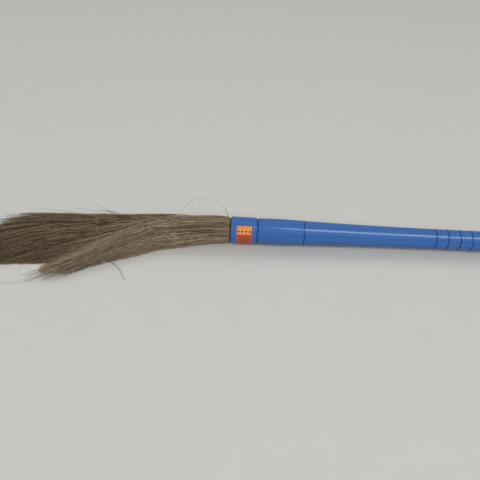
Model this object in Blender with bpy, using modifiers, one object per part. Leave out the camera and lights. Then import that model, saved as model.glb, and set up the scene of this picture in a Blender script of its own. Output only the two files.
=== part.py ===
"""Grass broom with a tube handle, lying on a table.

Units are metres and +Z is up. The table is z = 0, the handle runs towards +X, the grass towards -X
and the front of the fan towards -Y. In the broom's own frame, X is the handle's axis and zero is the
collar's mouth, so the grass lies at negative X. The broom rests on the collar's mouth and the end
cap's flange, which tips its axis down a little towards the handle's end.
"""
import math
import random

import bmesh
import bpy
from mathutils import Matrix, Vector

MM = 0.001

# Fits and cuts
FIT_GAP = 0.3 * MM
CUT_OVERRUN = 1.0 * MM

# Collar
COLLAR_RADIUS = 19.0 * MM
COLLAR_LENGTH = 35.4 * MM
COLLAR_TAPER = 0.4 * MM
MOUTH_CHAMFER = 0.8 * MM
THROAT_CHAMFER = 0.4 * MM
LIP_ROUNDING_LENGTH = 1.3 * MM
LIP_ROUNDING_DEPTH = 1.2 * MM
LIP_STEPS = 4
# Open ring between the collar's rear lip and the handle's shoulder
JOINT_GAP = 1.8 * MM

# Pack of hanks inside the collar and the handle
PACK_RADIUS = 14.9 * MM
PACK_INSET = 4.0 * MM
PACK_LENGTH = 71.0 * MM
HANK_KERF = 0.3 * MM
PARTITION_ANGLE = math.radians(45.0)
COLUMN_EDGE_SHARES = (-1.0, -0.49, -0.16, 0.16, 0.49, 1.0)
ROUND_EDGE_STEP = math.radians(18.0)

# Twine round each hank
TWINE_RADIUS = 0.4 * MM
NECK_DEPTH = 1.3 * MM
NECK_DISTANCE = 17.0 * MM
NECK_WIDTH = 2.2 * MM
NECK_SLOPE = 0.8 * MM

# Wire round the pack
WIRE_DIAMETER = 1.0 * MM
WIRE_TURNS = 3
WIRE_PITCH = 1.6 * MM
WIRE_FRONT_DISTANCE = 8.0 * MM
WIRE_REAR_DISTANCE = 50.0 * MM
WIRE_POINTS_PER_TURN = 16

# Peg driven into the pack from behind
PEG_RADIUS = 2.0 * MM
PEG_TIP_RADIUS = 0.6 * MM
PEG_LENGTH = 52.0 * MM
PEG_POINT = 30.0 * MM
PEG_HEAD = 6.0 * MM
PEG_CHAMFER = 0.5 * MM

# Handle tube
SPIGOT_LENGTH = 17.8 * MM
SPIGOT_WALL = 1.7 * MM
SPIGOT_ROOT = 5.2 * MM
SHOULDER_ROUNDING_LENGTH = 1.2 * MM
SHOULDER_ROUNDING_DEPTH = 1.1 * MM
SHOULDER_STEPS = 3
BARREL_RADIUS = 18.25 * MM
BARREL_LENGTH = 38.0 * MM
TAPER_LENGTH = 260.0 * MM
TAPER_POWER = 2.5
TAPER_STEPS = 9
BORE_TAPER_STEPS = 3
GRIP_RADIUS = 14.3 * MM
HANDLE_LENGTH = 522.2 * MM
HANDLE_WALL = 1.7 * MM

# Ring grooves, placed from the shoulder of the handle
GROOVE_WIDTH = 1.9 * MM
GROOVE_DEPTH = 1.0 * MM
GROOVE_FLOOR_WIDTH = 0.8 * MM
BARREL_GROOVE_PLACE = 63.3 * MM
GRIP_GROOVE_PLACE = 245.6 * MM
GRIP_GROOVE_PITCH = 16.6 * MM
GRIP_GROOVE_COUNT = 6

# End cap with its hanging tab
CAP_PLUG_LENGTH = 18.0 * MM
CAP_PLUG_WALL = 2.2 * MM
FLANGE_STANDOUT = 0.2 * MM
FLANGE_THICKNESS = 2.5 * MM
DOME_HEIGHT = 6.0 * MM
DOME_STEPS = 5
TAB_LENGTH = 31.0 * MM
TAB_WIDTH = 22.0 * MM
TAB_THICKNESS = 5.0 * MM
TAB_ROUNDING = 0.8 * MM
EYE_RADIUS = 5.5 * MM
TAB_ARC_STEPS = 12
EYE_STEPS = 24

# Paper label on the collar
LABEL_THICKNESS = 0.2 * MM
LABEL_WIDTH = 20.6 * MM
LABEL_DISTANCE = 7.9 * MM
LABEL_TOP_ANGLE = math.radians(55.0)
LABEL_BOTTOM_ANGLE = math.radians(-62.0)
LABEL_STEPS = 16

# Grass: the two groups leave the mouth together and part as they fan out
BRUSH_LENGTH = 400.0 * MM
FAN_REACH = 104.0 * MM
STALK_PITCH = 1.32 * MM
STALK_MARGIN = 0.05 * MM
STALK_ROOT = 2.0 * MM
STALK_SEED = 7
STALK_TWIST = math.radians(47.0)
MOUTH_SPREAD = 0.4 * MM
LENGTH_SCATTER_SHARE = 0.05
STALK_RADIUS_SHARE = 0.33
# Radii at the root, the mouth and the two bends, as shares of the root's
REAR_STALK_SHARES = (1.0, 1.0, 1.1, 1.25)
FRONT_STALK_SHARES = (1.0, 1.0, 0.95, 0.8)

# Cross-sections of each group: distance from the mouth (of the brush's length), place of the front
# edge and of the rear edge (Y of the fan's reach, height of the collar's radius), crown above the line
# between the edges and belly below it (of the pack's radius)
REAR_FAN_SHARES = (
    (0.22, -0.18, 0.13, 0.17, 1.50, 0.29, 0.94),
    (0.45, -0.46, 0.08, 0.21, 1.08, 0.74, 0.60),
    (0.72, -0.605, 0.045, 0.23, 0.84, 0.62, 0.36),
    (1.00, -0.69, 0.035, 0.21, 0.47, 0.47, 0.20),
)
FRONT_FAN_SHARES = (
    (0.22, -0.24, 0.16, 0.085, 1.62, 0.94, 0.0),
    (0.45, -0.635, 0.08, -0.38, 0.83, 0.78, 0.0),
    (0.60, -1.08, 0.045, -0.64, 0.26, 0.47, 0.0),
)
# How much of the belly leans towards the rear
BELLY_LEAN_SHARE = 0.6
# Stalk length (of the brush's length) against the place across the group, front edge to rear edge
REAR_LENGTH_SHARES = ((-1.0, 0.88), (-0.3, 1.0), (0.3, 0.93), (0.6, 0.82), (1.0, 0.72))
FRONT_LENGTH_SHARES = ((-1.0, 0.56), (0.0, 0.59), (1.0, 0.60))

# Turned pieces
TUBE_STEPS = 36
CAP_STEPS = 32
PEG_STEPS = 12
MERGE_DISTANCE = 0.01 * MM

# Sizes that follow from the ones above
STALK_RADIUS = STALK_PITCH * STALK_RADIUS_SHARE
WIRE_RADIUS = WIRE_DIAMETER / 2
THROAT_RADIUS = PACK_RADIUS + FIT_GAP + WIRE_DIAMETER + FIT_GAP
SPIGOT_BORE = PACK_RADIUS + FIT_GAP
SPIGOT_RADIUS = SPIGOT_BORE + SPIGOT_WALL
COLLAR_SOCKET_RADIUS = SPIGOT_RADIUS + FIT_GAP
COLLAR_REAR_RADIUS = COLLAR_RADIUS - COLLAR_TAPER
SHOULDER_PLACE = COLLAR_LENGTH + JOINT_GAP
SPIGOT_FRONT = SHOULDER_PLACE - SPIGOT_LENGTH
COLLAR_STEP_PLACE = SPIGOT_FRONT - FIT_GAP
HANDLE_END = SHOULDER_PLACE + HANDLE_LENGTH
FLANGE_RADIUS = GRIP_RADIUS + FLANGE_STANDOUT
FLANGE_FRONT = HANDLE_END + FIT_GAP
FLANGE_REAR = FLANGE_FRONT + FLANGE_THICKNESS
EYE_PLACE = FLANGE_REAR + DOME_HEIGHT + TAB_LENGTH - TAB_WIDTH / 2
BROOM_END = EYE_PLACE + TAB_WIDTH / 2
PEG_REAR = PACK_INSET + PACK_LENGTH + PEG_HEAD

# The broom's frame is tipped until the collar's mouth and the flange both touch the table, and moved
# until the middle of its length is over the origin
AXIS_TIP = math.atan2(COLLAR_RADIUS - FLANGE_RADIUS, FLANGE_REAR - MOUTH_CHAMFER)
AXIS_HEIGHT = COLLAR_RADIUS * math.cos(AXIS_TIP) + MOUTH_CHAMFER * math.sin(AXIS_TIP)
AXIS_X = (BRUSH_LENGTH - BROOM_END) / 2

# Name, sRGB colour as hex, roughness, metallic
FINISHES = {
    "blue_plastic": ("4a74b4", 0.32, 0.0),
    "label_paper": ("c4643a", 0.55, 0.0),
    "dark_grass": ("5a4a38", 0.75, 0.0),
    "pale_grass": ("7a6a55", 0.75, 0.0),
    "twine": ("b09a70", 0.85, 0.0),
    "steel_wire": ("8c8d90", 0.35, 1.0),
    "bamboo": ("c2a46c", 0.6, 0.0),
}


def clear_scene():
    """Remove every object that the scene starts with."""
    for obj in list(bpy.data.objects):
        bpy.data.objects.remove(obj, do_unlink=True)


def make_collection(name):
    """Add a collection of this name to the scene."""
    collection = bpy.data.collections.new(name)
    bpy.context.scene.collection.children.link(collection)
    return collection


def linear_channel(level):
    """Turn one sRGB channel to linear."""
    return level / 12.92 if level <= 0.04045 else ((level + 0.055) / 1.055) ** 2.4


def make_material(name):
    """Make a Principled material from the table of finishes."""
    code, roughness, metallic = FINISHES[name]
    levels = [linear_channel(int(code[i:i + 2], 16) / 255.0) for i in (0, 2, 4)]
    material = bpy.data.materials.new(name)
    material.use_nodes = True
    shader = material.node_tree.nodes["Principled BSDF"]
    shader.inputs["Base Color"].default_value = (*levels, 1.0)
    shader.inputs["Roughness"].default_value = roughness
    shader.inputs["Metallic"].default_value = metallic
    material.diffuse_color = (*levels, 1.0)
    return material


class Workshop:
    """Holds the collections, the broom's empty and the materials while the pieces are made."""

    def __init__(self):
        self.parts = make_collection("grass_broom")
        self.cutters = make_collection("cutters")
        self.frame = bpy.data.objects.new("broom_frame", None)
        self.frame.matrix_world = broom_matrix()
        self.parts.objects.link(self.frame)

    def add(self, name, data, finish):
        """Place a piece of the broom in the broom's frame, in its own material."""
        obj = bpy.data.objects.new(name, data)
        self.parts.objects.link(obj)
        obj.parent = self.frame
        material = make_material(finish)
        material.name = name + "_" + finish
        obj.data.materials.append(material)
        return obj

    def add_cutter(self, name, data):
        """Place a shape that only cuts or joins, and never shows."""
        obj = bpy.data.objects.new(name, data)
        self.cutters.objects.link(obj)
        obj.parent = self.frame
        obj.hide_render = True
        obj.display_type = "WIRE"
        return obj


def profile_mesh(name, profile, closed):
    """Make the outline of a turned piece: distance along the axis is Z, radius is X."""
    mesh = bpy.data.meshes.new(name)
    count = len(profile)
    edges = [(i, i + 1) for i in range(count - 1)]
    if closed:
        edges.append((count - 1, 0))
    mesh.from_pydata([(radius, 0, along) for along, radius in profile], edges, [])
    return mesh


def turn(obj, steps):
    """Turn the outline of an object round the broom's axis."""
    obj.rotation_euler = (0, math.pi / 2, 0)
    screw = obj.modifiers.new("turned", "SCREW")
    screw.axis = "Z"
    screw.angle = 2 * math.pi
    screw.steps = steps
    screw.render_steps = steps
    screw.use_merge_vertices = True
    screw.merge_threshold = MERGE_DISTANCE
    screw.use_smooth_shade = True
    weld = obj.modifiers.new("closed_at_axis", "WELD")
    weld.merge_threshold = MERGE_DISTANCE
    return obj


def arc(centre, radii, start, end, steps):
    """Points of an elliptical arc in a profile; angles are from the +radius direction to +along."""
    points = []
    for i in range(steps + 1):
        angle = start + (end - start) * i / steps
        points.append((centre[0] + radii[0] * math.sin(angle), centre[1] + radii[1] * math.cos(angle)))
    return points


def extrusion_curve(name, outlines, thickness, rounding):
    """A flat outline with holes, in the XY plane, thickened along Z with rounded edges."""
    curve = bpy.data.curves.new(name, "CURVE")
    curve.dimensions = "2D"
    curve.fill_mode = "BOTH"
    curve.extrude = thickness / 2 - rounding
    curve.bevel_depth = rounding
    curve.bevel_resolution = 1
    curve.offset = -rounding
    for outline in outlines:
        spline = curve.splines.new("POLY")
        spline.points.add(len(outline) - 1)
        for point, place in zip(spline.points, outline):
            point.co = (place[0], place[1], 0, 1)
        spline.use_cyclic_u = True
    return curve


def tube_curve(name, points, radius, closed):
    """A round wire or cord along points."""
    curve = bpy.data.curves.new(name, "CURVE")
    curve.dimensions = "3D"
    curve.bevel_depth = radius
    curve.bevel_resolution = 1
    curve.use_fill_caps = not closed
    spline = curve.splines.new("POLY")
    spline.points.add(len(points) - 1)
    for point, place in zip(spline.points, points):
        point.co = (*place, 1)
    spline.use_cyclic_u = closed
    return curve


def curve_to_mesh(obj):
    """Replace a curve object by a mesh object with its caps welded."""
    graph = bpy.context.evaluated_depsgraph_get()
    mesh = bpy.data.meshes.new_from_object(obj.evaluated_get(graph))
    work = bmesh.new()
    work.from_mesh(mesh)
    bmesh.ops.remove_doubles(work, verts=work.verts, dist=MERGE_DISTANCE)
    bmesh.ops.recalc_face_normals(work, faces=work.faces)
    work.to_mesh(mesh)
    work.free()
    bpy.data.objects.remove(obj, do_unlink=True)
    return mesh


def add_boolean(obj, cutter, operation):
    """Join a shape to an object or cut it out."""
    modifier = obj.modifiers.new(cutter.name, "BOOLEAN")
    modifier.operation = operation
    modifier.solver = "EXACT"
    modifier.object = cutter
    return modifier


def build_collar(shop):
    """The sleeve: chamfered mouth, slight taper, rounded rear lip and a bore that steps out."""
    lip = arc((COLLAR_LENGTH - LIP_ROUNDING_LENGTH, COLLAR_REAR_RADIUS - LIP_ROUNDING_DEPTH),
              (LIP_ROUNDING_LENGTH, LIP_ROUNDING_DEPTH), math.pi / 2, 0, LIP_STEPS)
    profile = [(COLLAR_LENGTH, COLLAR_SOCKET_RADIUS)] + lip + [
        (MOUTH_CHAMFER, COLLAR_RADIUS),
        (0, COLLAR_RADIUS - MOUTH_CHAMFER),
        (0, THROAT_RADIUS + THROAT_CHAMFER),
        (THROAT_CHAMFER, THROAT_RADIUS),
        (COLLAR_STEP_PLACE, THROAT_RADIUS),
        (COLLAR_STEP_PLACE, COLLAR_SOCKET_RADIUS),
    ]
    collar = shop.add("collar", profile_mesh("collar", profile, True), "blue_plastic")
    return turn(collar, TUBE_STEPS)


def handle_radius(along):
    """Outer radius of the handle behind its shoulder."""
    past_barrel = along - SHOULDER_PLACE - BARREL_LENGTH
    left = 1.0 - min(max(past_barrel / TAPER_LENGTH, 0.0), 1.0)
    return GRIP_RADIUS + (BARREL_RADIUS - GRIP_RADIUS) * left ** TAPER_POWER


def groove_places():
    """Where the ring grooves are, along the axis."""
    places = [SHOULDER_PLACE + BARREL_GROOVE_PLACE]
    for i in range(GRIP_GROOVE_COUNT):
        places.append(SHOULDER_PLACE + GRIP_GROOVE_PLACE + i * GRIP_GROOVE_PITCH)
    return places


def groove_profile(place):
    """Four points of a ring groove's section, front to rear."""
    rims = [(place + side * GROOVE_WIDTH / 2, 0) for side in (-1, 1)]
    floor = [(place + side * GROOVE_FLOOR_WIDTH / 2, GROOVE_DEPTH) for side in (-1, 1)]
    return [(along, handle_radius(along) - depth) for along, depth in sorted(rims + floor)]


def handle_outside():
    """The handle's outer profile from the shoulder to the rear end."""
    places = groove_places()
    plain = [SHOULDER_PLACE + BARREL_LENGTH + TAPER_LENGTH * i / TAPER_STEPS for i in range(TAPER_STEPS + 1)]
    points = []
    for along in plain:
        if all(abs(along - place) > GROOVE_WIDTH for place in places):
            points.append((along, handle_radius(along)))
    for place in places:
        points.extend(groove_profile(place))
    points.append((HANDLE_END, handle_radius(HANDLE_END)))
    points.sort()
    shoulder = arc((SHOULDER_PLACE + SHOULDER_ROUNDING_LENGTH, BARREL_RADIUS - SHOULDER_ROUNDING_DEPTH),
                   (SHOULDER_ROUNDING_LENGTH, SHOULDER_ROUNDING_DEPTH), -math.pi / 2, 0, SHOULDER_STEPS)
    return shoulder + points


def build_handle(shop):
    """The hollow tube: spigot, shoulder, barrel, taper and ringed grip, all with the same wall."""
    spigot_end = SHOULDER_PLACE + SPIGOT_ROOT
    inside = [(SPIGOT_FRONT, SPIGOT_BORE), (spigot_end, SPIGOT_BORE)]
    bore_start = spigot_end + HANDLE_WALL
    inside.append((bore_start, handle_radius(bore_start) - HANDLE_WALL))
    for i in range(BORE_TAPER_STEPS + 1):
        along = SHOULDER_PLACE + BARREL_LENGTH + TAPER_LENGTH * i / BORE_TAPER_STEPS
        inside.append((along, handle_radius(along) - HANDLE_WALL))
    inside.append((HANDLE_END, handle_radius(HANDLE_END) - HANDLE_WALL))
    outside = [(SPIGOT_FRONT, SPIGOT_RADIUS), (SHOULDER_PLACE, SPIGOT_RADIUS)] + handle_outside()
    profile = list(reversed(outside)) + inside
    handle = shop.add("handle_tube", profile_mesh("handle_tube", profile, True), "blue_plastic")
    return turn(handle, TUBE_STEPS)


def build_label(shop):
    """The paper label: a thin strip bent round the front of the collar, short of the table."""
    inner_radius = COLLAR_RADIUS + FIT_GAP
    mesh = bpy.data.meshes.new("label")
    front, rear = LABEL_DISTANCE, LABEL_DISTANCE + LABEL_WIDTH
    mesh.from_pydata([(front, 0, 0), (rear, 0, 0)], [(0, 1)], [])
    label = shop.add("label", mesh, "label_paper")
    work = bmesh.new()
    work.from_mesh(mesh)
    for vert in work.verts:
        vert.co.y = -inner_radius * math.cos(LABEL_TOP_ANGLE)
        vert.co.z = inner_radius * math.sin(LABEL_TOP_ANGLE)
    bmesh.ops.spin(work, geom=list(work.verts) + list(work.edges), cent=(0, 0, 0), axis=(1, 0, 0),
                   angle=LABEL_TOP_ANGLE - LABEL_BOTTOM_ANGLE, steps=LABEL_STEPS, use_duplicate=False)
    bmesh.ops.recalc_face_normals(work, faces=work.faces)
    work.to_mesh(mesh)
    work.free()
    mesh.shade_smooth()
    solidify = label.modifiers.new("paper", "SOLIDIFY")
    solidify.thickness = LABEL_THICKNESS
    solidify.offset = 1.0
    return label


def tab_outline():
    """The hanging tab seen from the side, with a round end about the eye."""
    half = TAB_WIDTH / 2
    root = FLANGE_REAR
    points = [(root, -half)]
    for i in range(TAB_ARC_STEPS + 1):
        angle = -math.pi / 2 + math.pi * i / TAB_ARC_STEPS
        points.append((EYE_PLACE + half * math.cos(angle), half * math.sin(angle)))
    points.append((root, half))
    return points


def eye_outline():
    """The round eye in the tab."""
    step = 2 * math.pi / EYE_STEPS
    return [(EYE_PLACE + EYE_RADIUS * math.cos(i * step), EYE_RADIUS * math.sin(i * step))
            for i in range(EYE_STEPS)]


def build_end_cap(shop):
    """The cap: a hollow plug in the tube, a flange over its end, a dome and the tab with its eye."""
    plug_radius = GRIP_RADIUS - HANDLE_WALL - FIT_GAP
    plug_front = FLANGE_FRONT - CAP_PLUG_LENGTH
    dome = arc((FLANGE_REAR, 0), (DOME_HEIGHT, FLANGE_RADIUS), math.pi / 2, 0, DOME_STEPS)
    profile = dome + [
        (FLANGE_FRONT, FLANGE_RADIUS),
        (FLANGE_FRONT, plug_radius),
        (plug_front, plug_radius),
        (plug_front, plug_radius - CAP_PLUG_WALL),
        (FLANGE_FRONT, plug_radius - CAP_PLUG_WALL),
        (FLANGE_FRONT, 0),
    ]
    cap = turn(shop.add("end_cap", profile_mesh("end_cap", profile, False), "blue_plastic"), CAP_STEPS)
    outlines = [tab_outline(), eye_outline()]
    curve = extrusion_curve("hanging_tab", outlines, TAB_THICKNESS, TAB_ROUNDING)
    tab = shop.add_cutter("hanging_tab", curve_to_mesh(shop.add_cutter("tab_curve", curve)))
    tab.rotation_euler = (math.pi / 2, 0, 0)
    add_boolean(cap, tab, "UNION")
    return cap


def column_edges(column):
    """Places of a hank's two sides across the pack, with half a kerf taken off between hanks."""
    low = COLUMN_EDGE_SHARES[column] * PACK_RADIUS
    high = COLUMN_EDGE_SHARES[column + 1] * PACK_RADIUS
    if column > 0:
        low += HANK_KERF / 2
    if column < len(COLUMN_EDGE_SHARES) - 2:
        high -= HANK_KERF / 2
    return low, high


def hank_outline(column):
    """A hank's section in the half pack: U across it, V from the partition out to the round edge."""
    low, high = column_edges(column)
    start = math.acos(max(low / PACK_RADIUS, -1.0))
    end = math.acos(min(high / PACK_RADIUS, 1.0))
    low_clear = math.pi - math.asin(HANK_KERF / 2 / PACK_RADIUS)
    start = min(start, low_clear)
    end = max(end, math.pi - low_clear)
    steps = max(1, round((start - end) / ROUND_EDGE_STEP))
    points = []
    for i in range(steps + 1):
        angle = start + (end - start) * i / steps
        points.append(Vector((PACK_RADIUS * math.cos(angle), PACK_RADIUS * math.sin(angle))))
    floor = HANK_KERF / 2
    if points[-1].y > floor + MERGE_DISTANCE:
        points.append(Vector((points[-1].x, floor)))
    if points[0].y > floor + MERGE_DISTANCE:
        points.append(Vector((points[0].x, floor)))
    return points


def inset_outline(points, distance):
    """Move every side of a convex outline, listed clockwise, inwards by a distance."""
    moved = []
    count = len(points)
    for i in range(count):
        before = (points[i] - points[i - 1]).normalized()
        after = (points[(i + 1) % count] - points[i]).normalized()
        normal_before = Vector((before.y, -before.x))
        normal_after = Vector((after.y, -after.x))
        shift = (normal_before + normal_after) / (1.0 + normal_before.dot(normal_after))
        moved.append(points[i] + shift * distance)
    return moved


def pack_place(row, u, v):
    """Turn a place in a half pack to Y and Z in the broom's frame; row is -1 rear, 1 front."""
    across = Vector((math.cos(PARTITION_ANGLE), math.sin(PARTITION_ANGLE)))
    out = Vector((-math.sin(PARTITION_ANGLE), math.cos(PARTITION_ANGLE))) * row
    return across * u + out * v


def extrude_ring(work, face, ring, places):
    """Extrude a face, move the new corners to their places and return the new face and its ring."""
    is_first = all(len(edge.link_faces) == 1 for edge in face.edges)
    made = bmesh.ops.extrude_face_region(work, geom=[face])["geom"]
    new_face = next(item for item in made if isinstance(item, bmesh.types.BMFace))
    new_ring = [min(new_face.verts, key=lambda vert: (vert.co - old.co).length) for old in ring]
    for vert, place in zip(new_ring, places):
        vert.co = place
    if not is_first and face.is_valid:
        bmesh.ops.delete(work, geom=[face], context="FACES_ONLY")
    return new_face, new_ring


def slug_mesh(name, row, outline):
    """The packed root of a hank: its section drawn along the axis, with a neck for the twine."""
    neck = PACK_INSET + NECK_DISTANCE
    sections = (
        (PACK_INSET, 0),
        (neck, 0),
        (neck + NECK_SLOPE, NECK_DEPTH),
        (neck + NECK_SLOPE + NECK_WIDTH, NECK_DEPTH),
        (neck + 2 * NECK_SLOPE + NECK_WIDTH, 0),
        (PACK_INSET + PACK_LENGTH, 0),
    )
    work = bmesh.new()
    ring = []
    for along, depth in sections:
        flat = [pack_place(row, corner.x, corner.y) for corner in inset_outline(outline, depth)]
        places = [Vector((along, place.x, place.y)) for place in flat]
        if ring:
            face, ring = extrude_ring(work, face, ring, places)
        else:
            ring = [work.verts.new(place) for place in places]
            face = work.faces.new(ring)
    return finish_mesh(name, work)


def finish_mesh(name, work):
    """Turn every face outwards and store the work as a mesh."""
    bmesh.ops.recalc_face_normals(work, faces=work.faces)
    mesh = bpy.data.meshes.new(name)
    work.to_mesh(mesh)
    work.free()
    return mesh


def interpolate(table, place):
    """Read a table whose rows start with their place, straight between its rows."""
    for low, high in zip(table, table[1:]):
        if place <= high[0]:
            break
    part = (place - low[0]) / (high[0] - low[0])
    return [a + (b - a) * part for a, b in zip(low, high)]


def fan_place(row, distance_share, across, depth):
    """A stalk's place in a cross-section of its group, in the broom's frame."""
    table = FRONT_FAN_SHARES if row > 0 else REAR_FAN_SHARES
    _, front_y, front_z, rear_y, rear_z, crown, belly = interpolate(table, distance_share)
    front = Vector((front_y * FAN_REACH, front_z * COLLAR_RADIUS))
    rear = Vector((rear_y * FAN_REACH, rear_z * COLLAR_RADIUS))
    line = rear - front
    normal = Vector((-line.y, line.x)).normalized()
    hang = belly * (1.0 + BELLY_LEAN_SHARE * across)
    out = crown * depth if row > 0 else crown * (1.0 - depth) - hang * depth
    dome = math.sqrt(1.0 - across * across) * PACK_RADIUS
    flat = front + line * (across + 1.0) / 2 + normal * dome * out
    along = -distance_share * BRUSH_LENGTH
    axis_height = AXIS_HEIGHT - along * math.sin(AXIS_TIP)
    return Vector((along, flat.x, (flat.y - axis_height) / math.cos(AXIS_TIP)))


def stalk_centres(row, place, across, length_share):
    """The stalk's middle line: root in the slug, mouth, two bends and the tip."""
    root = pack_place(row, place.x, place.y)
    spread = root * (1.0 + MOUTH_SPREAD / PACK_RADIUS)
    depth = place.y / math.sqrt(PACK_RADIUS * PACK_RADIUS - place.x * place.x)
    table = FRONT_FAN_SHARES if row > 0 else REAR_FAN_SHARES
    bends = [fan_place(row, section[0], across, depth) for section in table[:2]]
    tip = fan_place(row, length_share, across, depth)
    start = [Vector((PACK_INSET + STALK_ROOT, root.x, root.y)), Vector((0, spread.x, spread.y))]
    return start + bends + [tip]


def add_stalk(work, centres, shares, twist):
    """Add one three-sided stalk of these radii that ends in a point."""
    corners = []
    for i in range(3):
        angle = twist + i * 2 * math.pi / 3
        corners.append(Vector((0, STALK_RADIUS * math.cos(angle), STALK_RADIUS * math.sin(angle))))
    ring = [work.verts.new(centres[0] + corner) for corner in corners]
    face = work.faces.new(ring)
    for centre, share in zip(centres[1:], shares[1:]):
        face, ring = extrude_ring(work, face, ring, [centre + corner * share for corner in corners])
    face, ring = extrude_ring(work, face, ring, [centres[-1] for _ in corners])
    bmesh.ops.pointmerge(work, verts=ring, merge_co=centres[-1])


def is_inside(outline, place):
    """Whether a place lies inside a convex outline that is listed clockwise."""
    for i, corner in enumerate(outline):
        side = corner - outline[i - 1]
        if side.y * (place.x - corner.x) - side.x * (place.y - corner.y) < 0:
            return False
    return True


def stalk_grid(outline):
    """Places for stalks in a hank's section: staggered rows, clear of its sides."""
    room = inset_outline(outline, STALK_RADIUS + STALK_MARGIN)
    low = Vector((min(p.x for p in room), min(p.y for p in room)))
    high = Vector((max(p.x for p in room), max(p.y for p in room)))
    row_step = STALK_PITCH * math.sin(math.pi / 3)
    middle = (low.x + high.x) / 2
    rows = int((high.y - low.y) / row_step) + 1
    reach = int((high.x - low.x) / STALK_PITCH) + 1
    places = []
    for j in range(rows):
        shift = STALK_PITCH / 2 * (j % 2)
        for i in range(-reach, reach + 1):
            place = Vector((middle + i * STALK_PITCH + shift, low.y + j * row_step))
            if is_inside(room, place):
                places.append(place)
    return places


def hank_stalks(row, column):
    """The middle lines of a hank's stalks, their lengths scattered a little."""
    rng = random.Random(STALK_SEED + column * row)
    lengths = FRONT_LENGTH_SHARES if row > 0 else REAR_LENGTH_SHARES
    longest = FRONT_FAN_SHARES[-1][0] if row > 0 else REAR_FAN_SHARES[-1][0]
    grid = stalk_grid(hank_outline(column))
    left, right = min(place.x for place in grid), max(place.x for place in grid)
    full_width = (COLUMN_EDGE_SHARES[column + 1] - COLUMN_EDGE_SHARES[column]) * PACK_RADIUS
    opening = full_width / (right - left + STALK_PITCH)
    middle = (COLUMN_EDGE_SHARES[column + 1] + COLUMN_EDGE_SHARES[column]) / 2
    lines = []
    for place in grid:
        across = middle + (place.x - (left + right) / 2) * opening / PACK_RADIUS
        length = interpolate(lengths, across)[1] * (1.0 - LENGTH_SCATTER_SHARE * rng.random())
        lines.append(stalk_centres(row, place, across, min(length, longest)))
    return lines


def stalks_mesh(name, row, column):
    """All the stalks of one hank, which stay apart from each other."""
    shares = FRONT_STALK_SHARES if row > 0 else REAR_STALK_SHARES
    work = bmesh.new()
    for i, centres in enumerate(hank_stalks(row, column)):
        add_stalk(work, centres, shares, i * STALK_TWIST)
    return finish_mesh(name, work)


def brush_middle():
    """The middle of the brush from front to rear, in the broom's frame."""
    columns = range(len(COLUMN_EDGE_SHARES) - 1)
    lines = [line for row in (-1, 1) for column in columns for line in hank_stalks(row, column)]
    places = [point.y for line in lines for point in line]
    return (min(places) + max(places)) / 2


def broom_matrix():
    """Where the broom's frame is: tipped on to the table, with its outline's middle at the origin."""
    place = Matrix.Translation((AXIS_X, -brush_middle(), AXIS_HEIGHT))
    return place @ Matrix.Rotation(AXIS_TIP, 4, "Y")


def axis_distance(outline):
    """How near an outline's sides come to the pack's middle."""
    nearest = math.inf
    for i, corner in enumerate(outline):
        side = corner - outline[i - 1]
        part = min(max(-outline[i - 1].dot(side) / side.length_squared, 0.0), 1.0)
        nearest = min(nearest, (outline[i - 1] + side * part).length)
    return nearest


def build_hank(shop, number, row, column, peg_cut):
    """One hank: the packed root slug with its stalks fused to its front face."""
    outline = hank_outline(column)
    name = f"hank_{number}"
    finish = "pale_grass" if row > 0 else "dark_grass"
    hank = shop.add(name, slug_mesh(name, row, outline), finish)
    stalks = shop.add_cutter(f"stalks_{number}", stalks_mesh(f"stalks_{number}", row, column))
    add_boolean(hank, stalks, "UNION")
    if axis_distance(outline) < PEG_RADIUS + FIT_GAP:
        add_boolean(hank, peg_cut, "DIFFERENCE")
    return hank


def build_hank_tie(shop, number, row, column):
    """The twine in the neck of a hank's root."""
    depth = NECK_DEPTH - FIT_GAP - TWINE_RADIUS
    along = PACK_INSET + NECK_DISTANCE + NECK_SLOPE + NECK_WIDTH / 2
    places = []
    for corner in inset_outline(hank_outline(column), depth):
        flat = pack_place(row, corner.x, corner.y)
        places.append((along, flat.x, flat.y))
    name = f"hank_tie_{number}"
    return shop.add(name, tube_curve(name, places, TWINE_RADIUS, True), "twine")


def build_binding_wire(shop, name, middle):
    """A few turns of wire round the whole pack."""
    radius = PACK_RADIUS + FIT_GAP + WIRE_RADIUS
    count = WIRE_TURNS * WIRE_POINTS_PER_TURN
    points = []
    for i in range(count + 1):
        angle = 2 * math.pi * i / WIRE_POINTS_PER_TURN
        along = middle + WIRE_PITCH * WIRE_TURNS * (i / count - 0.5)
        points.append((along, radius * math.cos(angle), radius * math.sin(angle)))
    return shop.add(name, tube_curve(name, points, WIRE_RADIUS, False), "steel_wire")


def peg_profile(clearance, overrun):
    """The peg's outline, or with a clearance and an overrun the hole that it makes."""
    front = PEG_REAR - PEG_LENGTH - clearance
    rear = PEG_REAR + overrun
    point_start = PEG_REAR - PEG_LENGTH + PEG_POINT
    radius = PEG_RADIUS + clearance
    return [
        (rear, 0),
        (rear, radius - PEG_CHAMFER),
        (rear - PEG_CHAMFER, radius),
        (point_start, radius),
        (front, PEG_TIP_RADIUS + clearance),
        (front, 0),
    ]


def build_core_peg(shop):
    """The bamboo peg that jams the pack; it is turned plain and pointed at the front."""
    profile = peg_profile(0, 0)
    peg = shop.add("core_peg", profile_mesh("core_peg", profile, False), "bamboo")
    return turn(peg, PEG_STEPS)


def build_peg_cut(shop):
    """The hole for the peg, which the middle hanks share."""
    profile = peg_profile(FIT_GAP, CUT_OVERRUN)
    return turn(shop.add_cutter("peg_cut", profile_mesh("peg_cut", profile, False)), PEG_STEPS)


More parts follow.
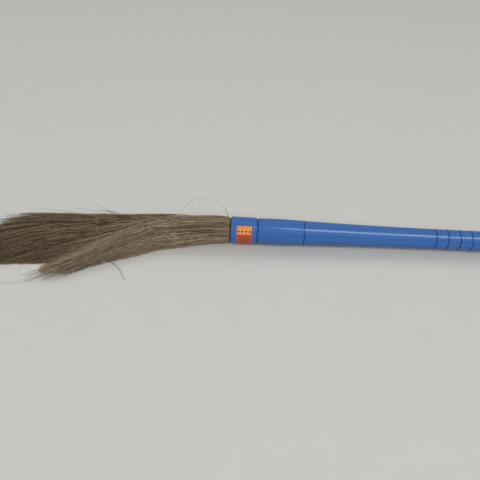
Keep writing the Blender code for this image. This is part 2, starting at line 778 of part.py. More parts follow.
def build_hanks(shop):
    """The rear and lower group, then the front and upper group, each with its twine."""
    peg_cut = build_peg_cut(shop)
    columns = len(COLUMN_EDGE_SHARES) - 1
    for group, row in enumerate((-1, 1)):
        for column in range(columns):
            number = group * columns + column + 1
            build_hank(shop, number, row, column, peg_cut)
            build_hank_tie(shop, number, row, column)


def main():
    """Build the whole broom."""
    clear_scene()
    shop = Workshop()
    build_collar(shop)
    build_label(shop)
    build_handle(shop)
    build_end_cap(shop)
    build_core_peg(shop)
    build_hanks(shop)
    build_binding_wire(shop, "binding_wire_front", WIRE_FRONT_DISTANCE)
    build_binding_wire(shop, "binding_wire_rear", WIRE_REAR_DISTANCE)
    bpy.context.view_layer.update()


main()
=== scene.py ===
"""Looks of a long-handled grass broom that lies on a table.

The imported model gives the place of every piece. This script dresses it: a blue moulded collar, tube
handle and end cap, a worn paper label, and ten hanks of fine dried grass, each made of small bunches of
stalks. Sizes are metres. In the broom's own frame, X is the handle's axis, zero is the collar's mouth and
the grass lies at negative X.
"""
import logging
import math
from dataclasses import dataclass
from enum import Enum
from typing import Any, Callable, Iterable, Sequence

import bmesh
import bpy
import numpy as np
from mathutils import Matrix, Vector


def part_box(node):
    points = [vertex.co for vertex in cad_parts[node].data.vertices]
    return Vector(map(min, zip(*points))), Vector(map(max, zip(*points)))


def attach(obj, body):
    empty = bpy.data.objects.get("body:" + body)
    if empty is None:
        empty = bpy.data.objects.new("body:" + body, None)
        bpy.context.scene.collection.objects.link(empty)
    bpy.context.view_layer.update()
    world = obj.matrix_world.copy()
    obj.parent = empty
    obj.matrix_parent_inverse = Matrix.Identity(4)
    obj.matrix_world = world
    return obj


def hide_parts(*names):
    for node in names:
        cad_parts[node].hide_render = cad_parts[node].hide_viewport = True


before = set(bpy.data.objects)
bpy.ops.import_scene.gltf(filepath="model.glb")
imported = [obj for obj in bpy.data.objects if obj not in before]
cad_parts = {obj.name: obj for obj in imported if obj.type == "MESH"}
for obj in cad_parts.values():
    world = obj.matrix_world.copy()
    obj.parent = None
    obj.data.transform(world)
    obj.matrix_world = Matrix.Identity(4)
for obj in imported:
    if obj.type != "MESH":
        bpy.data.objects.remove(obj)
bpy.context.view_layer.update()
BODY = "root"
MM = 0.001
MERGE_DISTANCE = 0.001 * MM
TINY = 1e-9

Array, Generator = np.ndarray, np.random.Generator
Span = tuple[float, float]
Table = tuple[tuple[float, ...], ...]
Colour = tuple[float, float, float, float]
Material, Mesh, Object = bpy.types.Material, bpy.types.Mesh, bpy.types.Object
Socket, Tree = bpy.types.NodeSocket, bpy.types.NodeTree

log = logging.getLogger("grass_broom")


def linear_colour(code: str) -> Colour:
    """Turn an sRGB hex colour to linear.

    Args:
        code: Six hex digits.

    Returns:
        Red, green, blue and an alpha of one.
    """
    levels = (int(code[i:i + 2], 16) / 255.0 for i in (0, 2, 4))
    red, green, blue = (level / 12.92 if level <= 0.04045 else ((level + 0.055) / 1.055) ** 2.4
                        for level in levels)
    return red, green, blue, 1.0


def add_node(tree: Tree, kind: str, inputs: dict[Any, Any], output: int | str = 0,
             **settings: Any) -> Socket | None:
    """Add a node with its settings and links.

    Args:
        tree: The node tree.
        kind: The node's type, without ShaderNode in front.
        inputs: A value, or a socket to link, for each input, by name or number.
        output: Which of its outputs is wanted, by name or number.
        settings: Values of the node's own properties.

    Returns:
        The wanted output, or nothing for a node that has none.
    """
    node = tree.nodes.new(f"ShaderNode{kind}")
    for name, value in settings.items():
        setattr(node, name, value)
    for key, value in inputs.items():
        if isinstance(value, Socket):
            tree.links.new(value, node.inputs[key])
        else:
            node.inputs[key].default_value = value
    return node.outputs[output] if node.outputs else None


def eased(value: Socket, source: Span, target: Span) -> dict[str, Any]:
    """The inputs of a node that maps a value from one span to another."""
    return dict(zip(("Value", "From Min", "From Max", "To Min", "To Max"), (value, *source, *target)))


def coat(tree: Tree, under: Socket | Colour, colour: str, pattern: Socket,
         levels: Span | None = None, shares: Span = (0.0, 1.0)) -> Socket:
    """Lay a colour over another where a pattern says so.

    Args:
        tree: The material's node tree.
        under: The colour below.
        colour: The hex colour on top.
        pattern: Where the top colour shows.
        levels: The pattern's values at which the first and the last share are reached; without them
            the pattern is the share.
        shares: How much of the top colour shows at these levels.

    Returns:
        The mixed colour.
    """
    if levels is not None:
        pattern = add_node(tree, "MapRange", eased(pattern, levels, shares), interpolation_type="SMOOTHSTEP")
    # A Mix node's colours are its inputs 6 and 7 and its output 2
    return add_node(tree, "Mix", {0: pattern, 6: under, 7: linear_colour(colour)}, 2, data_type="RGBA")


@dataclass(frozen=True)
class Grain:
    """A noise pattern with a grain of a real size.

    The grain has a length along X and a width along Y and Z. Detail is how many finer layers it has, and
    the levels are the values, about a half on average, between which the pattern comes in.
    """

    length: float
    width: float
    detail: float = 2.0
    levels: Span = (0.0, 1.0)

    def noise(self, tree: Tree) -> Socket:
        """The pattern's plain value, in the row's frame.

        Args:
            tree: The material's node tree.

        Returns:
            The noise's value.
        """
        place = add_node(tree, "TexCoord", {}, "Object")
        scale = (1.0 / self.length, 1.0 / self.width, 1.0 / self.width)
        scaled = add_node(tree, "Mapping", {"Vector": place, "Scale": scale})
        return add_node(tree, "TexNoise", {"Vector": scaled, "Scale": 1.0, "Detail": self.detail})

    def spread(self, tree: Tree, shares: Span) -> Socket:
        """The pattern, led from one share to another as it passes its levels."""
        return add_node(tree, "MapRange", eased(self.noise(tree), self.levels, shares),
                        interpolation_type="SMOOTHSTEP")


@dataclass(frozen=True)
class Finish:
    """A material, named for what it is and for how its surface was made."""

    name: str

    def surface(self, tree: Tree) -> dict[str, Any]:
        """A value or a pattern for each socket of the shader that the finish sets."""
        raise NotImplementedError

    def material(self) -> Material:
        """Make the material.

        Returns:
            The material, with a shader that has this finish's surface.
        """
        material = bpy.data.materials.new(self.name)
        material.use_nodes = True
        tree = material.node_tree
        tree.nodes.clear()
        shader = add_node(tree, "BsdfPrincipled", self.surface(tree))
        add_node(tree, "OutputMaterial", {"Surface": shader})
        return material


@dataclass(frozen=True)
class MouldedPolypropylene(Finish):
    """Polypropylene, blown or injected into a polished mould.

    The eye sees an even, slightly waxy blue with soft gloss. Resin flow leaves faint streaks along the
    tube, handling leaves a finer haze of dull patches, dust greys the upward faces a little, and grime
    and painted shade darken the grooves and the joint. Real dust is too fine to show, so its specks are
    drawn coarser.
    """

    colour: str = "2d5b9a"
    streak_colour: str = "2a5794"
    streaks: Grain = Grain(90.0 * MM, 5.0 * MM, levels=(0.35, 0.65))
    dust_colour: str = "a9afb8"
    dust: Grain = Grain(1.6 * MM, 1.6 * MM, 5.0, (0.3, 0.7))
    dust_share: float = 0.03
    dust_slopes: Span = (0.2, 1.0)
    # Painted shade with some grime: a dark navy laid into the grooves and the joint, deeper where the surface
    # sinks below its plain skin
    shade_and_grime_colour: str = "183a74"
    shade_and_grime_share: float = 0.85
    shade_and_grime_depth: float = 0.7 * MM
    scuffs: Grain = Grain(7.0 * MM, 7.0 * MM, 6.0, (0.45, 0.75))
    roughness: float = 0.23
    dull_roughness: float = 0.28
    ior: float = 1.49
    waves: Grain = Grain(30.0 * MM, 30.0 * MM, 1.0)
    wave_depth: float = 0.02 * MM

    def surface(self, tree: Tree) -> dict[str, Any]:
        """Streaked blue under dust, with grime and painted shade in the grooves and the joint; it reads how
        far each point lies below the plain skin.

        Args:
            tree: The material's node tree.

        Returns:
            What each socket of the shader holds.
        """
        blue = coat(tree, linear_colour(self.colour), self.streak_colour, self.streaks.noise(tree),
                    self.streaks.levels)
        upward = add_node(tree, "SeparateXYZ", {0: add_node(tree, "NewGeometry", {}, "Normal")}, "Z")
        lying = add_node(tree, "Math", {
            0: add_node(tree, "MapRange", eased(upward, self.dust_slopes, (0.0, self.dust_share)),
                        interpolation_type="SMOOTHSTEP"),
            1: self.dust.spread(tree, (0.0, 1.0))}, operation="MULTIPLY")
        dusted = coat(tree, blue, self.dust_colour, lying)
        # How far below the plain skin: it leads the painted shade and grime in the grooves and the joint
        below = add_node(tree, "Attribute", {}, "Fac", attribute_name="below_skin")
        return {
            "Base Color": coat(tree, dusted, self.shade_and_grime_colour, below, (0.0, self.shade_and_grime_depth),
                               (0.0, self.shade_and_grime_share)),
            "Roughness": self.scuffs.spread(tree, (self.roughness, self.dull_roughness)),
            "IOR": self.ior,
            "Normal": add_node(tree, "Bump", {"Height": self.waves.noise(tree), "Distance": self.wave_depth}),
        }


@dataclass(frozen=True)
class DriedGrass(Finish):
    """Dried grass stalks, cut and combed.

    The eye sees dull straw browns that change from bunch to bunch, some still olive, with a weak silky
    shine along each stalk and darker flecks where it has weathered. Real ridges are too fine to show, so
    they are drawn coarser.
    """

    dark_colour: str
    middle_colour: str
    pale_colour: str
    dark_levels: Span = (0.0, 0.55)
    pale_levels: Span = (0.5, 1.0)
    olive_colour: str = "6d6838"
    olive_levels: Span = (0.55, 1.0)
    olive_share: float = 0.3
    tip_colour: str = "5b4a3a"
    tip_levels: Span = (0.3, 1.0)
    tip_share: float = 0.15
    flecks: Grain = Grain(9.0 * MM, 1.0 * MM, 3.0, (0.35, 0.7))
    fleck_share: float = 0.5
    neck_colour: str = "6b5b45"
    neck_length: float = 130.0 * MM
    neck_share: float = 0.5
    # Painted shade: the stalks turn dark over their first few millimetres out of the collar's mouth
    root_shade_length: float = 4.0 * MM
    root_shade_share: float = 0.9
    ridges: Grain = Grain(9.0 * MM, 0.25 * MM)
    ridge_depth: float = 0.05 * MM
    roughness: float = 0.5
    ior: float = 1.45

    def surface(self, tree: Tree) -> dict[str, Any]:
        """Coats of brown, one over the other; they read the shades that each stalk carries.

        Args:
            tree: The material's node tree.

        Returns:
            What each socket of the shader holds.
        """
        shade, hue, along, reach = (add_node(tree, "Attribute", {}, "Fac", attribute_name=f"stalk_{name}")
                                    for name in ("shade", "hue", "along", "reach"))
        coats = (
            (self.middle_colour, shade, self.dark_levels, (0.0, 1.0)),
            (self.pale_colour, shade, self.pale_levels, (0.0, 1.0)),
            (self.olive_colour, hue, self.olive_levels, (0.0, self.olive_share)),
            (self.tip_colour, along, self.tip_levels, (0.0, self.tip_share)),
            (self.dark_colour, self.flecks.noise(tree), self.flecks.levels, (self.fleck_share, 0.0)),
            (self.neck_colour, reach, (0.0, self.neck_length), (self.neck_share, 0.0)),
            # painted shade at the roots, by the collar's mouth
            (self.dark_colour, reach, (0.0, self.root_shade_length), (self.root_shade_share, 0.0)),
        )
        colour: Socket | Colour = linear_colour(self.dark_colour)
        for top in coats:
            colour = coat(tree, colour, *top)
        ridges = add_node(tree, "Bump", {"Height": self.ridges.noise(tree), "Distance": self.ridge_depth})
        return {"Base Color": colour, "Roughness": self.roughness, "IOR": self.ior, "Normal": ridges}


@dataclass(frozen=True)
class CoatedPaper(Finish):
    """Coated label paper, printed in two tones and worn.

    The eye sees flat ink with a slight shine: an orange field with a pale strip and a row of small
    diamonds over a red field with a brown bar, and a pale rubbed border where the ink has gone. Reaches
    across the label and shares up it run from zero to one, or further to pass its edges.
    """

    red: str = "ab3a22"
    orange: str = "c67c34"
    brown: str = "86421f"
    cream: str = "cd8f50"
    rubbed: str = "b5705a"
    full_reach: Span = (-1.0, 2.0)
    orange_shares: Span = (0.69, 2.0)
    bar_reach: Span = (0.16, 0.84)
    bar_shares: Span = (0.33, 0.62)
    strip_shares: Span = (0.72, 0.88)
    diamonds: int = 4
    diamond_share: float = 0.40
    rub_share: float = 0.05
    rub: Grain = Grain(1.2 * MM, 1.2 * MM, 3.0, (0.3, 0.7))
    buckle: Grain = Grain(3.6 * MM, 3.6 * MM)
    buckle_depth: float = 0.04 * MM
    roughness: float = 0.42

    def off_middle(self, tree: Tree, places: Iterable[Socket]) -> list[Socket]:
        """How far each place, from zero to one, is from the middle."""
        shifted = [add_node(tree, "Math", {0: place, 1: 0.5}, operation="SUBTRACT") for place in places]
        return [add_node(tree, "Math", {0: place}, operation="ABSOLUTE") for place in shifted]

    def diamond_mask(self, tree: Tree, across: Socket, up: Socket) -> Socket:
        """A row of diamonds in the strip.

        Args:
            tree: The material's node tree.
            across: The place across the label, from zero to one.
            up: The place up the label, from zero to one.

        Returns:
            The mask.
        """
        cells = add_node(tree, "Math", {0: across, 1: self.diamonds}, operation="MULTIPLY")
        in_cell = add_node(tree, "Math", {0: cells}, operation="FRACT")
        in_strip = add_node(tree, "MapRange", eased(up, self.strip_shares, (0.0, 1.0)), clamp=False)
        sides = self.off_middle(tree, (in_cell, in_strip))
        reach = add_node(tree, "Math", dict(enumerate(sides)), operation="ADD")
        return add_node(tree, "Math", {0: reach, 1: self.diamond_share}, operation="LESS_THAN")

    def surface(self, tree: Tree) -> dict[str, Any]:
        """Ink, field over field, with its worn edge; it reads the label's own UV map.

        Args:
            tree: The material's node tree.

        Returns:
            What each socket of the shader holds.
        """
        place = add_node(tree, "UVMap", {}, uv_map="label_place")
        across, up = (add_node(tree, "SeparateXYZ", {0: place}, axis) for axis in ("X", "Y"))
        ink: Socket | Colour = linear_colour(self.red)
        fields = ((self.orange, self.full_reach, self.orange_shares),
                  (self.brown, self.bar_reach, self.bar_shares),
                  (self.cream, self.full_reach, self.strip_shares))
        for colour, *sides in fields:
            # COMPARE says one where the first value is no further from the second than the third
            inside = {i: add_node(tree, "Math", {0: value, 1: (low + high) / 2, 2: (high - low) / 2},
                                  operation="COMPARE")
                      for i, (value, (low, high)) in enumerate(zip((across, up), sides))}
            ink = coat(tree, ink, colour, add_node(tree, "Math", inside, operation="MULTIPLY"))
        ink = coat(tree, ink, self.brown, self.diamond_mask(tree, across, up))
        sides = self.off_middle(tree, (across, up))
        widest = add_node(tree, "Math", dict(enumerate(sides)), operation="MAXIMUM")
        ragged = self.rub.spread(tree, (-self.rub_share, self.rub_share / 2))
        worn = add_node(tree, "Math", {0: widest, 1: ragged}, operation="ADD")
        edge = (0.5 - self.rub_share, 0.5 - self.rub_share / 2)
        buckles = add_node(tree, "Bump", {"Height": self.buckle.noise(tree), "Distance": self.buckle_depth})
        return {"Base Color": coat(tree, ink, self.rubbed, worn, edge), "Roughness": self.roughness,
                "Normal": buckles}


@dataclass(frozen=True)
class GalvanisedWire(Finish):
    """Soft steel wire, hot-dip galvanised: a grey metal with dull zinc patches along it."""

    name: str = "galvanised_wire_drawn"
    colour: str = "a5a8ab"
    dull_colour: str = "7f8387"
    patches: Grain = Grain(1.5 * MM, 1.5 * MM, 4.0, (0.3, 0.7))
    patch_levels: Span = (0.4, 0.6)
    roughness: float = 0.3
    dull_roughness: float = 0.5

    def surface(self, tree: Tree) -> dict[str, Any]:
        """Zinc, duller in its patches.

        Args:
            tree: The material's node tree.

        Returns:
            What each socket of the shader holds.
        """
        return {
            "Base Color": coat(tree, linear_colour(self.colour), self.dull_colour, self.patches.noise(tree),
                               self.patch_levels),
            "Roughness": self.patches.spread(tree, (self.roughness, self.dull_roughness)),
            "Metallic": 1.0,
        }


@dataclass(frozen=True)
class TwistedJute(Finish):
    """Jute twine, two strands twisted: straw brown with slanting dark lines between the strands."""

    name: str = "jute_twine_twisted"
    colour: str = "b89f70"
    dark_colour: str = "7d6745"
    lay_pitch: float = 1.1 * MM
    lay_scale: float = 0.5
    lay_distortion: float = 1.5
    lay_depth: float = 0.1 * MM
    roughness: float = 0.85

    def surface(self, tree: Tree) -> dict[str, Any]:
        """Pale strands, raised between the dark lines.

        Args:
            tree: The material's node tree.

        Returns:
            What each socket of the shader holds.
        """
        lay = add_node(tree, "TexWave", {
            "Vector": add_node(tree, "TexCoord", {}, "Object"), "Scale": self.lay_scale / self.lay_pitch,
            "Distortion": self.lay_distortion}, "Fac", bands_direction="DIAGONAL")
        return {
            "Base Color": coat(tree, linear_colour(self.dark_colour), self.colour, lay),
            "Roughness": self.roughness,
            "Normal": add_node(tree, "Bump", {"Height": lay, "Distance": self.lay_depth}),
        }


@dataclass(frozen=True)
class SplitBamboo(Finish):
    """Bamboo, split and shaved to a peg: pale straw with long darker fibres along it."""

    name: str = "bamboo_split_and_shaved"
    colour: str = "c9ad74"
    fibre_colour: str = "8f7242"
    fibres: Grain = Grain(12.0 * MM, 0.4 * MM, 3.0, (0.5, 0.7))
    fibre_share: float = 0.8
    fibre_depth: float = 0.05 * MM
    roughness: float = 0.6

    def surface(self, tree: Tree) -> dict[str, Any]:
        """Straw with raised fibres.

        Args:
            tree: The material's node tree.

        Returns:
            What each socket of the shader holds.
        """
        fibres = self.fibres.noise(tree)
        colour = coat(tree, linear_colour(self.colour), self.fibre_colour, fibres, self.fibres.levels,
                      (0.0, self.fibre_share))
        raised = add_node(tree, "Bump", {"Height": fibres, "Distance": self.fibre_depth})
        return {"Base Color": colour, "Roughness": self.roughness, "Normal": raised}


@dataclass(frozen=True)
class CoatedTable(Finish):
    """The floor of the studio: a pale coated board, plain but for a faint mottle."""

    name: str = "board_coated_pale"
    colour: str = "bdbcb8"
    mottle_colour: str = "b8b7b3"
    mottle: Grain = Grain(35.0 * MM, 35.0 * MM, 3.0)
    roughness: float = 0.6

    def surface(self, tree: Tree) -> dict[str, Any]:
        """The pale board with its mottle.

        Args:
            tree: The material's node tree.

        Returns:
            What each socket of the shader holds.
        """
        mottle = self.mottle.noise(tree)
        return {"Base Color": coat(tree, linear_colour(self.colour), self.mottle_colour, mottle),
                "Roughness": self.roughness}


def finish_piece(piece: Object, nodes: Iterable[str], material: Material) -> None:
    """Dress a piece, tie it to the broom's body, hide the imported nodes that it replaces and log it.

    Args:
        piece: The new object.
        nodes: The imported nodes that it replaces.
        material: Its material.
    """
    piece.data.materials.clear()
    piece.data.materials.append(material)
    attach(piece, BODY)
    names = list(nodes)
    if names:
        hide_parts(*names)
    log.info("%s: %d points, %s", piece.name, len(piece.data.vertices), material.name)


def new_object(name: str, data: bpy.types.ID) -> Object:
    """Put a mesh, curve, lamp or camera in the scene as an object.

    Args:
        name: The object's name.
        data: The mesh, curve, lamp or camera.

    Returns:
        The object.
    """
    piece = bpy.data.objects.new(name, data)
    bpy.context.scene.collection.objects.link(piece)
    return piece


def arc(centre: Span, radii: Span, start: float, end: float, steps: int) -> list[Span]:
    """Points of an elliptical arc in a turned profile.

    Args:
        centre: Distance along the axis and radius of the arc's centre.
        radii: Reach along the axis and outwards.
        start: First angle, from the outward direction towards the rear.
        end: Last angle.
        steps: How many pieces the arc has.

    Returns:
        Points as distance along the axis and radius.
    """
    angles = (start + (end - start) * i / steps for i in range(steps + 1))
    return [(centre[0] + radii[0] * math.sin(a), centre[1] + radii[1] * math.cos(a)) for a in angles]


def cubic(t: Array, start: Array, leave: Array | float, end: Array, arrive: Array) -> Array:
    """Run smoothly from one value to another.

    Args:
        t: How far along, from zero to one.
        start: The first value.
        leave: The slope there.
        end: The last value.
        arrive: The slope there.

    Returns:
        The values on the way.
    """
    return (start * (2 * t ** 3 - 3 * t ** 2 + 1) + leave * (t ** 3 - 2 * t ** 2 + t)
            + end * (3 * t ** 2 - 2 * t ** 3) + arrive * (t ** 3 - t ** 2))


def turned_mesh(name: str, profile: Sequence[Span], steps: int, closed: bool, matrix: Matrix, sharp: float,
                skin: Callable[[float], float] | None = None) -> Mesh:
    """Turn a profile round the broom's axis.

    Args:
        name: The mesh's name.
        profile: Points as distance along the axis and radius, from the rear over the outside.
        steps: How many faces go round.
        closed: Whether the last point joins the first.
        matrix: From the broom's frame to the row's.
        sharp: Edges that turn by more than this angle stay crisp.
        skin: The plain outer radius along the axis; how far the mesh lies below it is stored in
        the attribute that the plastic reads for the painted shade and grime in its hollows.

    Returns:
        The mesh, smooth where it is round.
    """
    work = bmesh.new()
    verts = [work.verts.new((along, 0, radius)) for along, radius in profile]
    pairs = list(zip(verts, verts[1:]))
    if closed:
        pairs.append((verts[-1], verts[0]))
    edges = [work.edges.new(pair) for pair in pairs]
    bmesh.ops.spin(work, geom=verts + edges, cent=(0, 0, 0), axis=(1, 0, 0), angle=2 * math.pi,
                   steps=steps, use_merge=True)
    bmesh.ops.remove_doubles(work, verts=work.verts, dist=MERGE_DISTANCE)
    bmesh.ops.recalc_face_normals(work, faces=work.faces)
    below = [max(skin(v.co.x) - math.hypot(v.co.y, v.co.z), 0.0) if skin else 0.0 for v in work.verts]
    work.transform(matrix)
    mesh = bpy.data.meshes.new(name)
    work.to_mesh(mesh)
    work.free()
    mesh.attributes.new("below_skin", "FLOAT", "POINT").data.foreach_set("value", below)
    mesh.shade_smooth()
    mesh.set_sharp_from_angle(angle=sharp)
    return mesh


@dataclass(frozen=True)
class Sizes:
    """The broom's driving sizes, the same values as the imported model's."""

    fit_gap: float = 0.3 * MM
    collar_radius: float = 19.0 * MM
    collar_length: float = 35.4 * MM
    joint_gap: float = 1.8 * MM
    collar_taper: float = 0.4 * MM
    mouth_chamfer: float = 0.8 * MM
    throat_chamfer: float = 0.4 * MM
    lip_rounding_length: float = 1.3 * MM
    lip_rounding_depth: float = 1.2 * MM
    pack_radius: float = 14.9 * MM
    pack_inset: float = 4.0 * MM
    pack_length: float = 71.0 * MM
    wire_diameter: float = 1.0 * MM
    spigot_length: float = 17.8 * MM
    spigot_wall: float = 1.7 * MM
    spigot_root: float = 5.2 * MM
    shoulder_rounding_length: float = 1.2 * MM
    shoulder_rounding_depth: float = 1.1 * MM
    barrel_radius: float = 18.25 * MM
    barrel_length: float = 38.0 * MM
    taper_length: float = 260.0 * MM
    taper_power: float = 2.5
    grip_radius: float = 14.3 * MM
    handle_length: float = 522.2 * MM
    handle_wall: float = 1.7 * MM
    cap_plug_length: float = 18.0 * MM
    cap_plug_wall: float = 2.2 * MM
    flange_standout: float = 0.2 * MM
    flange_thickness: float = 2.5 * MM
    dome_height: float = 6.0 * MM
    tab_length: float = 31.0 * MM
    tab_width: float = 22.0 * MM
    tab_thickness: float = 5.0 * MM
    tab_rounding: float = 0.8 * MM
    eye_radius: float = 5.5 * MM
    brush_length: float = 400.0 * MM

    @property
    def rear_radius(self) -> float:
        """The collar's outer radius at its rear lip."""
        return self.collar_radius - self.collar_taper

    @property
    def throat_radius(self) -> float:
        """The collar's bore in front of the spigot, clear of the binding wire."""
        return self.pack_radius + self.fit_gap + self.wire_diameter + self.fit_gap

    @property
    def spigot_bore(self) -> float:
        """The bore of the handle's spigot."""
        return self.pack_radius + self.fit_gap

    @property
    def spigot_radius(self) -> float:
        """The outer radius of the handle's spigot."""
        return self.spigot_bore + self.spigot_wall

    @property
    def shoulder(self) -> float:
        """Where the handle's shoulder stands, behind the collar."""
        return self.collar_length + self.joint_gap

    @property
    def spigot_front(self) -> float:
        """Where the spigot starts inside the collar."""
        return self.shoulder - self.spigot_length

    @property
    def handle_end(self) -> float:
        """Where the tube ends."""
        return self.shoulder + self.handle_length

    @property
    def flange_radius(self) -> float:
        """The outer radius of the end cap's flange."""
        return self.grip_radius + self.flange_standout

    @property
    def flange_front(self) -> float:
        """Where the end cap's flange starts."""
        return self.handle_end + self.fit_gap

    @property
    def flange_rear(self) -> float:
        """Where the end cap's flange ends."""
        return self.flange_front + self.flange_thickness

    @property
    def eye_place(self) -> float:
        """Where the middle of the hanging eye is."""
        return self.flange_rear + self.dome_height + self.tab_length - self.tab_width / 2


@dataclass(frozen=True)
class BroomAxis:
    """Where the broom lies: the collar's mouth, and how far the handle's end tips down."""

    mouth: Vector
    tip: float

    @classmethod
    def from_frame(cls, sizes: Sizes) -> "BroomAxis":
        """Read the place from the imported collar.

        Args:
            sizes: The broom's sizes.

        Returns:
            The broom's axis in the row's frame.
        """
        low, high = (Vector(corner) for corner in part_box("collar"))
        tip = math.atan2(sizes.collar_radius - sizes.flange_radius, sizes.flange_rear - sizes.mouth_chamfer)
        front = low.x + (sizes.collar_radius - sizes.mouth_chamfer) * math.sin(tip)
        height = sizes.collar_radius * math.cos(tip) + sizes.mouth_chamfer * math.sin(tip)
        return cls(Vector((front, (low.y + high.y) / 2, height)), tip)

    @property
    def matrix(self) -> Matrix:
        """From the broom's frame to the row's."""
        return Matrix.Translation(self.mouth) @ Matrix.Rotation(self.tip, 4, "Y")


@dataclass
class Piece:
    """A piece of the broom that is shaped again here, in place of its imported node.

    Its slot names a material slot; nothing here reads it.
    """

    sizes: Sizes
    axis: BroomAxis
    name: str
    slot: str
    node: str

    def mesh(self) -> Mesh:
        """The piece's shape, in the row's frame."""
        raise NotImplementedError

    def build(self, material: Material) -> Object:
        """Build the piece and dress it.

        Args:
            material: The piece's material.

        Returns:
            The piece.
        """
        piece = new_object(self.name, self.mesh())
        finish_piece(piece, [self.node], material)
        return piece


@dataclass
class Collar(Piece):
    """The moulded sleeve round the roots of the grass."""

    steps: int = 128
    arc_steps: int = 8
    sharp_angle: float = math.radians(35)

    def profile(self) -> list[Span]:
        """The sleeve's section, from its rear lip over the outside to the bore.

        Returns:
            Points as distance along the axis and radius.
        """
        s = self.sizes
        step_place = s.spigot_front - s.fit_gap
        socket = s.spigot_radius + s.fit_gap
        lip = arc((s.collar_length - s.lip_rounding_length, s.rear_radius - s.lip_rounding_depth),
                  (s.lip_rounding_length, s.lip_rounding_depth), math.pi / 2, 0, self.arc_steps)
        mouth = arc((s.mouth_chamfer, s.collar_radius - s.mouth_chamfer),
                    (s.mouth_chamfer, s.mouth_chamfer), 0, -math.pi / 2, self.arc_steps)
        throat = arc((s.throat_chamfer, s.throat_radius + s.throat_chamfer),
                     (s.throat_chamfer, s.throat_chamfer), -math.pi / 2, -math.pi, self.arc_steps)
        return [(s.collar_length, socket)] + lip + mouth + throat + [
            (step_place, s.throat_radius), (step_place, socket)]

    def mesh(self) -> Mesh:
        """The sleeve; grime and painted shade darken the joint, so only its rear half has a skin to lie
        below.

        Returns:
            The mesh.
        """
        s = self.sizes
        return turned_mesh(self.name, self.profile(), self.steps, True, self.axis.matrix, self.sharp_angle,
                           lambda along: s.rear_radius if along > s.collar_length / 2 else 0.0)


@dataclass
class Handle(Piece):
    """The blown tube: spigot, barrel with a bead and ring groove, long taper and ringed grip."""

    steps: int = 128
    arc_steps: int = 8
    sharp_angle: float = math.radians(50)
    groove_width: float = 1.9 * MM
    groove_depth: float = 1.0 * MM
    groove_power: int = 4
    groove_steps: int = 12
    barrel_groove: float = 63.3 * MM
    grip_groove: float = 245.6 * MM
    grip_pitch: float = 16.6 * MM
    grip_grooves: int = 6
    bead_width: float = 2.6 * MM
    bead_height: float = 0.18 * MM
    bead_distance: float = 2.3 * MM
    plain_step: float = 6.0 * MM

    def radius(self, along: float) -> float:
        """The tube's outer radius without its grooves, behind the shoulder.

        Args:
            along: The distance from the mouth.

        Returns:
            The radius.
        """
        s = self.sizes
        past_barrel = along - s.shoulder - s.barrel_length
        left = 1.0 - min(max(past_barrel / s.taper_length, 0.0), 1.0)
        return s.grip_radius + (s.barrel_radius - s.grip_radius) * left ** s.taper_power

    @property
    def bead_place(self) -> float:
        """Where the bead is, in front of the barrel's groove."""
        return self.sizes.shoulder + self.barrel_groove - self.bead_distance

    def groove_places(self) -> list[float]:
        """Where the ring grooves are.

        Returns:
            Their distances from the mouth.
        """
        start = self.sizes.shoulder
        grip = [start + self.grip_groove + i * self.grip_pitch for i in range(self.grip_grooves)]
        return [start + self.barrel_groove] + grip

    def surface(self, along: float) -> float:
        """The tube's outer radius with grooves and bead.

        Args:
            along: The distance from the mouth.

        Returns:
            The radius.
        """
        radius = self.radius(along)
        for place in self.groove_places():
            off = abs(along - place) / (self.groove_width / 2)
            if off < 1.0:
                radius -= self.groove_depth * (1.0 - off ** self.groove_power)
        off = abs(along - self.bead_place) / (self.bead_width / 2)
        if off < 1.0:
            radius += self.bead_height * (1.0 - off * off) ** 2
        return radius

    def profile(self) -> list[Span]:
        """The tube's section, from its rear end over the outside and back through the bore.

        Returns:
            Points as distance along the axis and radius.
        """
        s = self.sizes
        plain = int((s.handle_end - s.shoulder - s.shoulder_rounding_length) / self.plain_step)
        places = {s.handle_end}
        places |= {s.handle_end - i * self.plain_step for i in range(plain)}
        rims = [(place, self.groove_width) for place in self.groove_places()]
        rims.append((self.bead_place, self.bead_width))
        for place, width in rims:
            places = {p for p in places if abs(p - place) > width / 2}
            places |= {place + width * (i / self.groove_steps - 0.5) for i in range(self.groove_steps + 1)}
        outside = [(p, self.surface(p)) for p in sorted(places, reverse=True)]
        length, depth = s.shoulder_rounding_length, s.shoulder_rounding_depth
        shoulder = arc((s.shoulder + length, s.barrel_radius - depth), (length, depth),
                       0, -math.pi / 2, self.arc_steps)
        spigot_end = s.shoulder + s.spigot_root
        bore_start = spigot_end + s.handle_wall
        bore = [bore_start + (s.handle_end - bore_start) * i / self.groove_steps
                for i in range(self.groove_steps + 1)]
        inside = [(s.spigot_front, s.spigot_radius), (s.spigot_front, s.spigot_bore),
                  (spigot_end, s.spigot_bore)]
        inside += [(p, self.radius(p) - s.handle_wall) for p in bore]
        return outside + shoulder + [(s.shoulder, s.spigot_radius)] + inside

    def mesh(self) -> Mesh:
        """The tube."""
        return turned_mesh(self.name, self.profile(), self.steps, True, self.axis.matrix, self.sharp_angle,
                           self.radius)


